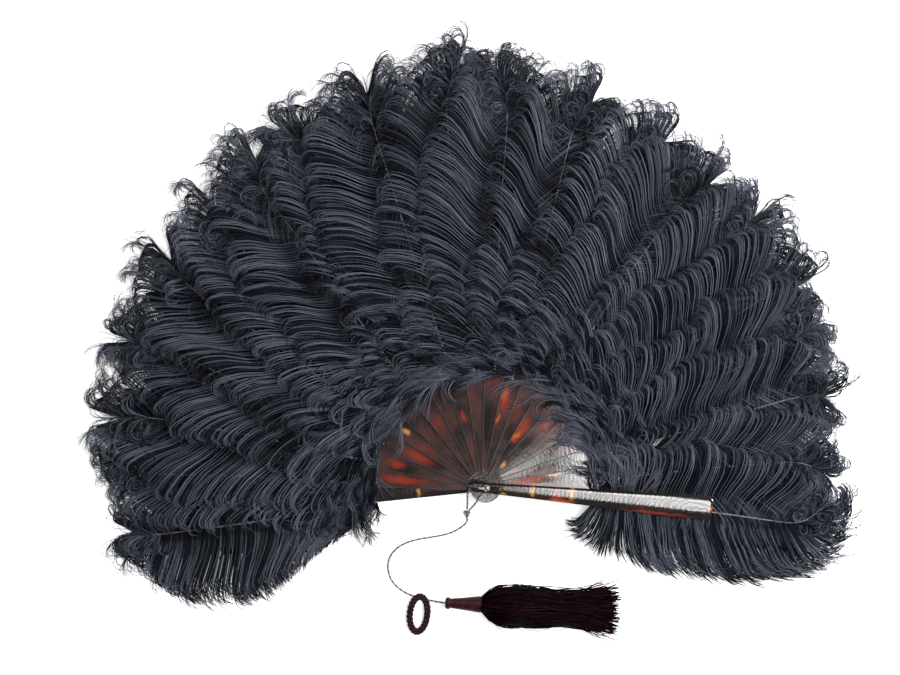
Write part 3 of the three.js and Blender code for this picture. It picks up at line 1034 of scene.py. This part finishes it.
    def fluff(self) -> None:
        """Grows the loose fluff that falls over the sticks and the barbs about the plume's foot."""
        rng, n, t = self.rng, self.fluff_count, np.linspace(0, 1, 11)
        locks = 24
        lock = rng.integers(0, locks, n)
        a = rng.uniform(0, 1, (6, locks))[:, lock]
        s = 0.01 + 0.26 * a[4] ** 1.6 + rng.normal(0, 0.004, n)
        lean = 88 + 34 * smooth((self.k - 13) / 3) - 52 * (a[4] ** 1.6) + 60 * (a[0] - 0.5)
        lean = lean + rng.normal(0, 3, n)
        bend = 110 * (a[1] - 0.5) + rng.normal(0, 5, n)
        curl = (200 * (a[2] - 0.45))[:, None] * smooth((t - 0.55) / 0.45)
        turn = lean[:, None] + bend[:, None] * smooth(t / 0.7) + curl + rng.normal(0, 5, (n, 1)) * t
        long = 22 + 30 * a[3] + rng.normal(0, 3, n)
        paths, out = self.trail(np.maximum(s, 0.0), 1, t, long, turn)
        level = self.spread.floor(self.k, np.hypot(paths[..., 0], paths[..., 1]))
        lift = (1.5 + 4.0 * a[5] + 4.0 * s)[:, None]
        paths[..., 2] = level + 1.2 + lift * np.sin(math.pi * (0.1 + 0.85 * t)) + rng.normal(0, 0.3, (n, 1))
        paths[..., 2] -= smooth((14 - out) / 4) * (paths[..., 2] - level - 0.2) * (self.k == self.spread.front)
        width = np.repeat(0.55 * ramp(((0, 0.9), (0.7, 0.8), (1, 0.25)), t)[None, :], n, 0)
        roll = rng.uniform(-1, 1, (n, 1)) + rng.uniform(-0.6, 0.6, (n, 1)) * t
        self.lay(paths, width, roll, np.where(a[3] < 0.35, 0.08, 0.5 + 0.5 * a[1]) * rng.uniform(0.6, 1, n))

    def stem(self) -> None:
        """Adds the quill itself."""
        line = turned(self.quill, self.turn) * MM
        radius = ramp(((0, 1.25), (0.5, 0.8), (1, 0.25)), self.s) * MM
        vertices, quads = tube(line[::4], radius[::4], 6)
        self.mesh.add(vertices, quads, 0.5, 1)

    def build(self, feather: bpy.types.Material, quill: bpy.types.Material) -> bpy.types.Object:
        """Makes the plume.

        Args:
            feather: Finish of the barbs.
            quill: Finish of the quill.

        Returns:
            The plume's object, riding with its stick.
        """
        left = Half.REAR_EDGE if self.k == 0 else Half.OVER
        right = Half.FRONT_EDGE if self.k == self.spread.front else Half.UNDER
        for side, role in ((1, left), (-1, right)):
            self.shade_sheet(side, role)
            self.half(side, role)
        self.tuft()
        self.fluff()
        self.stem()
        place = self.spread.place(self.k)
        made = self.mesh.build(f"ostrich_plume_{place}", feather, quill)
        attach(made, self.spread.body(self.k))
        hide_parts(f"plume_{place}")
        return made


@dataclass
class Blades:
    """The sticks and guards: merged copies of the turned-out solids, with softened edges."""

    spread: Spread
    finish: ShellFinish
    guard_finish: ShellFinish
    edge: float = 0.00013

    def build(self) -> list[bpy.types.Object]:
        """Makes and dresses all of them.

        Returns:
            The pieces, from the rear guard to the front one.
        """
        shell, guard = self.finish.material(), self.guard_finish.material()
        front = self.spread.front
        return [self.blade(k, guard if k in (0, front) else shell) for k in range(front + 1)]

    def blade(self, k: int, shell: bpy.types.Material) -> bpy.types.Object:
        """Makes one stick or guard.

        Args:
            k: Its number, counted from the rear guard.
            shell: Its finish.

        Returns:
            The piece, riding on its own body.
        """
        node = self.spread.body(k)
        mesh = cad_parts[node].data.copy()
        made = bpy.data.objects.new(f"shell_{node}", mesh)
        bpy.context.scene.collection.objects.link(made)
        bpy.ops.object.select_all(action="DESELECT")
        made.select_set(True)
        bpy.context.view_layer.objects.active = made
        bpy.ops.object.mode_set(mode="EDIT")
        bpy.ops.mesh.select_all(action="SELECT")
        bpy.ops.mesh.remove_doubles(threshold=2e-6)
        bpy.ops.object.mode_set(mode="OBJECT")
        guard = k in (0, self.spread.front)
        soften = made.modifiers.new("softened_edges", "BEVEL")
        soften.width = self.edge * (3 if guard else 1)
        soften.segments = 2
        soften.limit_method = "ANGLE"
        soften.angle_limit = math.radians(40)
        bpy.ops.object.modifier_apply(modifier=soften.name)
        bpy.ops.object.shade_smooth_by_angle(angle=math.radians(24 if guard else 2))
        self.mark_place(made, k)
        mesh.materials.clear()
        mesh.materials.append(shell)
        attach(made, node)
        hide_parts(node)
        return made

    def mark_place(self, made: bpy.types.Object, k: int) -> None:
        """Stores each vertex's place along and across its own blade, for the mottling.

        Args:
            made: The piece.
            k: Its number.
        """
        mesh = made.data
        co = np.zeros(len(mesh.vertices) * 3, np.float32)
        mesh.vertices.foreach_get("co", co)
        place = turned(co.reshape(-1, 3), -self.spread.stick_turn(k))
        place[:, 2] = k * self.finish.step
        attribute = mesh.attributes.new("blade_place", "FLOAT_VECTOR", "POINT")
        attribute.data.foreach_set("vector", place.astype(np.float32).ravel())


def turned_solid(name: str, profile: Points, sides: int) -> bpy.types.Object:
    """A turned solid, drawn up ring by ring from a circle.

    Args:
        name: Name of the piece.
        profile: Radius and height of each ring, in metres, from the foot up.
        sides: Vertices in each ring.

    Returns:
        The new object, with its foot at the origin and its axis along Z.
    """
    bpy.ops.object.select_all(action="DESELECT")
    radius, height = profile[0]
    bpy.ops.mesh.primitive_circle_add(vertices=sides, radius=radius, fill_type="TRIFAN",
                                      location=(0, 0, height))
    made = bpy.context.object
    made.name = made.data.name = name
    bpy.ops.object.transform_apply(location=True)
    bpy.ops.object.mode_set(mode="EDIT")
    bpy.ops.mesh.select_all(action="SELECT")
    bpy.ops.mesh.flip_normals()
    bpy.ops.mesh.select_mode(type="EDGE")
    bpy.ops.mesh.region_to_loop()
    for r, z in profile[1:]:
        bpy.ops.mesh.extrude_edges_move(TRANSFORM_OT_translate={"value": (0, 0, z - height)})
        bpy.ops.transform.resize(value=(r / radius, r / radius, 1), center_override=(0, 0, z))
        radius, height = r, z
    bpy.ops.mesh.edge_face_add()
    bpy.ops.mesh.poke()
    bpy.ops.mesh.select_all(action="SELECT")
    bpy.ops.mesh.normals_make_consistent(inside=False)
    bpy.ops.object.mode_set(mode="OBJECT")
    return made


def settle(made: bpy.types.Object, place: Matrix) -> None:
    """Moves a piece's mesh to its place, and leaves the object at the origin.

    Args:
        made: The piece.
        place: Where it goes.
    """
    made.data.transform(place)
    made.data.update()


@dataclass
class Rivet:
    """The gilt rivet: its pin, and a domed cap with a pressed rim."""

    finish: GiltFinish
    radius: float = 3.1

    def build(self) -> bpy.types.Object:
        """Makes the cap and dresses the pin.

        Returns:
            The cap.
        """
        gilt = self.finish.material()
        low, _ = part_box("rivet_cap")
        r = self.radius
        profile = ((0.9 * r, 0.0), (r, 0.08), (r, 0.4), (0.94 * r, 0.62), (0.82 * r, 0.7), (0.72 * r, 0.62),
                   (0.64 * r, 0.5), (0.56 * r, 0.62), (0.42 * r, 0.92), (0.22 * r, 1.1), (0.08 * r, 1.14))
        cap = turned_solid("rivet_dome", tuple((x * MM, z * MM) for x, z in profile), 40)
        settle(cap, Matrix.Translation((0, 0, low.z)))
        bpy.ops.object.shade_smooth_by_angle(angle=math.radians(60))
        cap.data.materials.append(gilt)
        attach(cap, "front_guard")
        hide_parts("rivet_cap")
        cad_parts["rivet"].material_slots[0].material = gilt
        return cap


@dataclass
class CordRun:
    """The grey twisted cord: a loop round the rivet's pin, a knot, and the run to the tassel."""

    diameter: float = 1.9
    plies: int = 2
    lay_length: float = 10.0
    sides: int = 12
    pin_loop: float = 3.3
    loop_height: float = 21.43
    rise: Points = ((-15.3, -22.0, 4.6), (-13.5, -19.4, 9.6), (-11.6, -16.8, 15.4), (-9.9, -14.3, 20.0))
    inner: Points = ((-7.8, -11.4), (-4.6, -7.2), (-0.6, -3.9))
    back: Points = ((-4.8, 1.2), (-9.2, -0.4), (-13.4, -1.8))
    fall: Points = ((-16.3, -4.4, 20.6), (-16.9, -9.2, 16.2), (-16.7, -14.8, 10.4), (-17.0, -20.4, 5.6))
    knot: tuple[float, float, float] = (-17.0, -24.6, 2.6)
    run: Points = (
        (-17.4, -28.0, 1.7), (-16.6, -31.2, 0.9), (-19.4, -35.2, 0.9), (-25.4, -39.4, 0.9), (-32.8, -42.8, 0.9),
        (-41.8, -45.0, 0.9), (-50.7, -46.5, 0.9), (-59.7, -48.0, 0.9), (-68.5, -50.3, 0.9), (-76.0, -53.5, 0.9),
        (-82.0, -58.0, 0.9), (-86.6, -64.2, 0.9), (-88.5, -71.4, 0.9), (-88.0, -77.5, 0.9), (-85.8, -84.2, 0.9),
        (-81.2, -90.2, 0.9), (-74.6, -95.4, 0.9), (-67.0, -99.1, 0.9), (-59.4, -101.6, 0.9), (-52.0, -103.2, 1.2),
        (-44.8, -104.2, 4.1), (-37.4, -104.9, 7.55))

    def twisted(self, name: str, line: np.ndarray, cord: bpy.types.Material) -> bpy.types.Object:
        """A twisted cord along a curve.

        Args:
            name: Name of the piece.
            line: Points along the curve, in metres.
            cord: Its finish.

        Returns:
            The new object.
        """
        along = np.concatenate([[0], np.cumsum(np.linalg.norm(np.diff(line, axis=0), axis=1))])
        turn = np.linspace(0, 2 * math.pi, self.sides, endpoint=False)
        ply = self.plies * (turn[None, :] - 2 * math.pi * along[:, None] / (self.lay_length * MM))
        lobes = np.abs(np.cos(ply / 2))
        radius = self.diameter * MM / 2 * (0.72 + 0.34 * lobes)
        vertices, quads = tube(line, radius, self.sides)
        # Tone follows the plies: painted shade in the grooves between them, lighter on their crests.
        tone = np.pad(lobes, ((1, 1), (0, 0)), mode="edge").ravel()
        parts = MeshParts()
        parts.add(vertices, quads, tone)
        made = parts.build(name, cord)
        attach(made, "front_guard")
        return made

    def loop_points(self) -> list[tuple[float, float, float]]:
        """Points of the loop round the pin.

        Returns:
            The points in metres, from the knot round the pin and back.
        """
        z = self.loop_height
        round_pin = [(self.pin_loop * math.cos(math.radians(a)), self.pin_loop * math.sin(math.radians(a)), z)
                     for a in (-35, 20, 75, 130)]
        level = [(x, y, z) for x, y in self.inner], [(x, y, z) for x, y in self.back]
        route = [*self.rise, *level[0], *round_pin, *level[1], *self.fall]
        return [(x * MM, y * MM, h * MM) for x, y, h in route]

    def knot_line(self) -> np.ndarray:
        """Line of the overhand knot.

        Returns:
            Points along the line, in metres.
        """
        a = np.linspace(0, 2 * math.pi, 90)
        across = np.sin(a) + 2 * np.sin(2 * a)
        along = np.cos(a) - 2 * np.cos(2 * a)
        shape = np.stack([across, along, -1.1 * np.sin(3 * a)], -1)
        return shape * 0.9 * MM + np.array(self.knot) * MM

    def build(self, cord: bpy.types.Material) -> tuple[bpy.types.Object, bpy.types.Object, bpy.types.Object]:
        """Makes the loop, the knot and the run.

        Args:
            cord: Their finish.

        Returns:
            The three pieces.
        """
        self.loop_line = dense_curve(self.loop_points(), 0.0004)
        self.run_line = dense_curve([tuple(c * MM for c in p) for p in self.run], 0.0004)
        loop = self.twisted("twisted_loop", self.loop_line, cord)
        knot = self.twisted("overhand_knot", self.knot_line(), cord)
        run = self.twisted("twisted_cord", self.run_line, cord)
        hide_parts("cord_loop")
        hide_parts("cord_knot")
        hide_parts("cord")
        return loop, knot, run


@dataclass
class FingerRing:
    """The braided finger ring that slides on the cord."""

    centre: tuple[float, float, float] = (-60.8, -115.6, 4.15)
    half_length: float = 16.2
    half_width: float = 7.9
    tilt: float = 4.5
    turn: float = -6.0
    strands: int = 3
    crossings: int = 8
    sway: float = 1.7
    lift: float = 0.9
    strand_radius: float = 1.5

    def build(self, silk: bpy.types.Material) -> bpy.types.Object:
        """Makes the ring.

        Args:
            silk: Its finish.

        Returns:
            The ring, riding with the cord.
        """
        parts = MeshParts()
        a = np.linspace(0, 2 * math.pi, 361)
        middle = np.stack([self.half_width * np.cos(a), self.half_length * np.sin(a)], -1)
        outward = unit(np.stack([self.half_length * np.cos(a), self.half_width * np.sin(a)], -1))
        tilt = Matrix.Rotation(math.radians(self.tilt), 3, "X")
        turn = Matrix.Rotation(math.radians(self.turn), 3, "Z") @ tilt
        for strand in range(self.strands):
            phase = self.crossings * a + 2 * math.pi * strand / self.strands
            flat = middle + outward * (self.sway * np.sin(phase))[:, None]
            line = np.column_stack([flat, self.lift * np.sin(2 * phase)]) @ np.array(turn).T
            line = (line + np.array(self.centre)) * MM
            sides = np.linspace(0, 2 * math.pi, 10, endpoint=False)
            ply = np.abs(np.cos(1.5 * sides[None, :] - 30 * a[:, None]))
            vertices, quads = tube(line, self.strand_radius * MM * (0.88 + 0.16 * ply), 10)
            # Tone follows the ply bumps: painted shade in the dips between them, lighter on the bumps.
            tone = 0.3 + 0.6 * np.pad(ply, ((1, 1), (0, 0)), mode="edge").ravel()
            parts.add(vertices, quads, tone)
        made = parts.build("braided_ring", silk)
        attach(made, "front_guard")
        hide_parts("finger_ring")
        return made


@dataclass
class Tassel:
    """The tassel: a silk-wound turned head and a skirt of silk threads."""

    start: tuple[float, float, float] = (-36.9, -105.0, 7.55)
    turn: float = -2.4
    threads: int = 620
    loose_threads: int = 40
    stations: int = 16
    thread_radius: float = 0.45
    head: Points = (
        (2.6, 0.0), (4.4, 0.5), (5.3, 1.8), (5.4, 3.0), (4.9, 4.2), (4.2, 5.2), (4.3, 6.2), (4.8, 9.0),
        (5.2, 14.0), (5.9, 20.0), (6.7, 26.0), (7.25, 30.0), (7.3, 31.6), (6.9, 32.6), (5.6, 33.2))
    half_width: Points = ((33, 6.0), (37, 11), (42, 15.5), (50, 18.5), (64, 19.6), (80, 18.8), (100, 16.6),
                          (112, 16.8), (130, 19), (148, 22), (157, 23.5))
    half_height: Points = ((33, 6.0), (40, 9.5), (52, 11.8), (70, 11.6), (100, 10), (130, 10.5), (157, 11.5))

    def place(self) -> Matrix:
        """Where the tassel's own frame, with its axis along X, lies in the fan's."""
        return Matrix.Translation(Vector(self.start) * MM) @ Matrix.Rotation(math.radians(self.turn), 4, "Z")

    def wound_head(self, wrap: bpy.types.Material) -> bpy.types.Object:
        """Makes the head.

        Args:
            wrap: Its finish.

        Returns:
            The head, riding with the cord.
        """
        made = turned_solid("wound_head", tuple((r * MM, z * MM) for r, z in self.head), 48)
        settle(made, self.place() @ Matrix.Rotation(math.radians(90), 4, "Y"))
        bpy.ops.object.shade_smooth_by_angle(angle=math.radians(60))
        made.data.materials.append(wrap)
        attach(made, "front_guard")
        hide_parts("tassel_head")
        return made

    def skirt(self, silk: bpy.types.Material) -> bpy.types.Object:
        """Makes the skirt.

        Args:
            silk: Its finish.

        Returns:
            The skirt, riding with the cord.
        """
        rng = np.random.default_rng(77)
        n = self.threads
        t = np.linspace(0, 1, self.stations)[None, :]
        loose = np.arange(n) < self.loose_threads
        end = rng.uniform(141, 156, n) + rng.normal(0, 2.0, n)
        x = 32.4 + (end[:, None] - 32.4) * t
        around = np.where(loose, rng.uniform(-0.5, 3.6, n), rng.uniform(0, 2 * math.pi, n))
        depth = np.sqrt(rng.uniform(0.02, 1.0, n)) * (1 + rng.normal(0, 0.03, n))
        wave = np.stack([wander(rng, np.linspace(0, 9, self.stations) + 11 * i, 1.5) for i in range(n)])
        flow = np.stack([wander(rng, np.linspace(0, 9, self.stations) + 7 * i, 1.7) for i in range(n)])
        fray = smooth((t - 0.75) / 0.25) * rng.normal(0, 3.6, n)[:, None]
        bow = np.sin(math.pi * np.clip(t * 1.15, 0, 1)) ** 2
        stray = np.where(loose, rng.normal(0, 13.0, n), 0.0)[:, None] * bow
        across = ramp(self.half_width, x) * (depth * np.cos(around))[:, None] + 2.0 * wave * smooth(t / 0.15)
        tall = ramp(self.half_height, x)
        up = tall + 0.7 + tall * (depth * np.sin(around))[:, None] + 1.0 * flow * smooth(t / 0.15)
        paths = np.stack([x, across + fray + stray, np.maximum(up, 0.6) - self.start[2]], -1)
        tangent = unit(np.gradient(paths, axis=1))
        level = unit(np.cross(tangent, np.array([0.0, 0.0, 1.0])))
        rise = np.cross(level, tangent)
        rings = []
        for corner in range(3):
            a = rng.uniform(0, 0.6, n)[:, None, None] + 2 * math.pi * corner / 3 + 5 * t[..., None]
            size = np.where(loose, 0.16, self.thread_radius)[:, None, None]
            rings.append(paths + size * (level * np.cos(a) + rise * np.sin(a)))
        vertices = np.stack(rings, 2).reshape(-1, 3) * MM
        place = np.array(self.place())
        vertices = vertices @ place[:3, :3].T + place[:3, 3]
        parts = MeshParts()
        parts.add(vertices, strip_quads(n, self.stations, 3, True),
                  np.repeat(rng.uniform(0, 1, n) ** 2 * 1.6, self.stations * 3))
        made = parts.build("thread_skirt", silk)
        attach(made, "front_guard")
        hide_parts("tassel_skirt")
        return made


@dataclass
class Studio:
    """The floor, the lights and the camera."""

    millimetres_per_pixel: float = 0.9
    frame_pixels: tuple[int, int] = (900, 675)
    rivet_pixel: tuple[float, float] = (486.0, 487.0)
    camera_height: float = 1.62
    object_height: float = 0.012
    sensor: float = 36.0

    def camera(self) -> None:
        """Sets the camera straight above the fan, framed as the photograph is."""
        across, down = self.frame_pixels
        x = (across / 2 - self.rivet_pixel[0]) * self.millimetres_per_pixel * MM
        y = (self.rivet_pixel[1] - down / 2) * self.millimetres_per_pixel * MM
        data = bpy.data.cameras.new("overhead")
        data.sensor_width = self.sensor
        width = across * self.millimetres_per_pixel * MM
        data.lens = self.sensor * (self.camera_height - self.object_height) / width
        camera = bpy.data.objects.new("overhead", data)
        camera.location = (x, y, self.camera_height)
        bpy.context.scene.collection.objects.link(camera)
        bpy.context.scene.camera = camera

    def panel(self, name: str, place: tuple[float, float, float], turn: float | None, size: tuple[float, float],
              power: float) -> None:
        """Hangs a soft light panel.

        Args:
            name: Name of the light.
            place: Where it hangs.
            turn: Its turn about Z in degrees where it faces straight down, or None where it faces the fan.
            size: Its width and height.
            power: Its power in watts.
        """
        data = bpy.data.lights.new(name, "AREA")
        data.shape = "ELLIPSE"
        data.size, data.size_y = size
        data.energy = power
        light = bpy.data.objects.new(name, data)
        light.location = place
        if turn is None:
            towards = Vector((0.0, 0.15, 0.0)) - Vector(place)
            light.rotation_euler = towards.to_track_quat("-Z", "Y").to_euler()
        else:
            light.rotation_euler = (0.0, 0.0, math.radians(turn))
        bpy.context.scene.collection.objects.link(light)

    def lights(self) -> None:
        """Hangs the lights: a pale surround, a key, and panels that the sticks and the front guard reflect."""
        world = bpy.data.worlds.new("pale_room")
        world.use_nodes = True
        background = world.node_tree.nodes["Background"]
        background.inputs["Color"].default_value = (1.0, 1.0, 1.0, 1.0)
        background.inputs["Strength"].default_value = 0.22
        bpy.context.scene.world = world
        self.panel("window", (0.165, -0.056, 1.5), 27.0, (0.21, 0.08), 0.36)
        self.panel("guard_window", (0.31, -0.15, 1.5), -5.4, (0.3, 0.08), 0.5)
        self.panel("tall_window", (0.47, 0.15, 1.5), 0.0, (0.34, 1.0), 16.0)
        self.panel("low_window", (0.035, -0.155, 1.5), 0.0, (0.07, 0.05), 0.13)
        self.panel("key", (1.6, 0.55, 0.95), None, (0.7, 0.7), 60.0)

    def floor(self) -> None:
        """Lays the floor."""
        bpy.ops.object.select_all(action="DESELECT")
        bpy.ops.mesh.primitive_grid_add(x_subdivisions=4, y_subdivisions=4, size=8.0)
        floor = bpy.context.object
        floor.name = "floor"
        floor.data.materials.append(FloorFinish("pale_floor").material())

    def build(self) -> None:
        """Sets up the whole studio."""
        self.camera()
        self.lights()
        self.floor()
        view = bpy.context.scene.view_settings
        view.view_transform = "Standard"
        view.look = "None"


STICK_PATCHES = (
    Patch(1, 76, 2.5, 48, 9, Glow.RED),
    Patch(3, 66, 2.5, 34, 10, Glow.RED),
    Patch(2, 84, 3.0, 20, 9, Glow.RED),
    Patch(11, 80, 5.0, 30, 10, Glow.RED),
    Patch(11, 86, 6.0, 13, 7, Glow.AMBER),
    Patch(11, 62, 6.5, 12, 3.5, Glow.AMBER),
    Patch(13, 60, 5.0, 30, 11, Glow.RED),
    Patch(13, 53, 5.0, 12, 6, Glow.AMBER),
    Patch(14, 80, 4.0, 24, 9, Glow.RED),
    Patch(8, 66, 4.5, 12, 6, Glow.RED),
    Patch(4, 87, 2.0, 9, 5.5, Glow.GOLD),
    Patch(14, 25, 3.2, 10, 4, Glow.GOLD),
    Patch(18, 62, 7.4, 14, 3, Glow.GOLD),
    Patch(18, 38, 4.0, 34, 9, Glow.RED),
)
GUARD_PATCHES = (
    Patch(19, 17, -3.6, 6, 2.5, Glow.GOLD),
    Patch(19, 41.5, 0.8, 5.5, 10, Glow.GOLD),
    Patch(19, 64, -2.0, 14, 15, Glow.RED),
    Patch(19, 77, 2.0, 6, 13, Glow.GOLD),
    Patch(19, 66, -6.0, 28, 5, Glow.AMBER),
    Patch(19, 150, -9.0, 70, 4, Glow.RED),
    Patch(19, 203, 0.0, 5, 8, Glow.AMBER),
    Patch(0, 61, 0.0, 5, 14, Glow.GOLD),
)
STICK_STOPS = ((0.34, 0.006, 0.004, 0.004), (0.45, 0.021, 0.012, 0.011), (0.53, 0.040, 0.020, 0.018),
               (0.62, 0.062, 0.018, 0.014), (0.74, 0.120, 0.024, 0.011))
GUARD_STOPS = ((0.35, 0.005, 0.004, 0.004), (0.55, 0.011, 0.006, 0.005), (0.72, 0.030, 0.008, 0.005))


def main() -> None:
    """Builds the studio, then the fan's pieces in order."""
    logging.basicConfig(level=logging.INFO, format="%(name)s: %(message)s")
    Studio().build()
    spread = Spread()
    fibre = fibre_tone_group()
    cord_finish = FibreFinish("grey_cord", fibre, (0.03, 0.03, 0.032), (0.22, 0.215, 0.21), 260.0).material()
    silk = FibreFinish("maroon_silk", fibre, (0.0012, 0.0003, 0.0008), (0.014, 0.0030, 0.0066), 90.0,
                       specular=0.06).material()
    cord = CordRun()
    loop, knot, run = cord.build(cord_finish)
    tassel = Tassel()
    head = tassel.wound_head(WrapFinish("wound_silk", math.radians(tassel.turn)).material())
    skirt = tassel.skirt(silk)
    ring_silk = FibreFinish("braided_silk", fibre, (0.003, 0.001, 0.0015), (0.028, 0.008, 0.012), 160.0,
                            specular=0.1).material()
    ring = FingerRing().build(ring_silk)
    LOG.info("cord, ring and tassel: %s", ", ".join(o.name for o in (loop, knot, run, ring, head, skirt)))
    patch = amber_patch_group()
    stick_shell = ShellFinish("stick_shell", patch, STICK_PATCHES, STICK_STOPS, 0.0041, 0.0735, 0.02, 0.0)
    guard_shell = ShellFinish("guard_shell", patch, GUARD_PATCHES, GUARD_STOPS, 0.02, 0.0, 0.07, 0.12)
    blades = Blades(spread, stick_shell, guard_shell).build()
    LOG.info("blades: %d", len(blades))
    LOG.info("rivet: %s", Rivet(GiltFinish("worn_gilt")).build().name)
    # The dark colour is also what the painted shade takes: the black sheet, the near-black ribbons and the
    # darkened barb feet.
    feather = FibreFinish("black_plume", fibre, (0.0008, 0.0013, 0.0032), (0.090, 0.099, 0.128), 14.0,
                          specular=0.03).material()
    quill = QuillFinish("dyed_quill").material()
    for k in range(spread.front + 1):
        plume = Plume(spread, k).build(feather, quill)
        LOG.info("%s: %d faces", plume.name, len(plume.data.polygons))


if __name__ == "__main__":
    main()
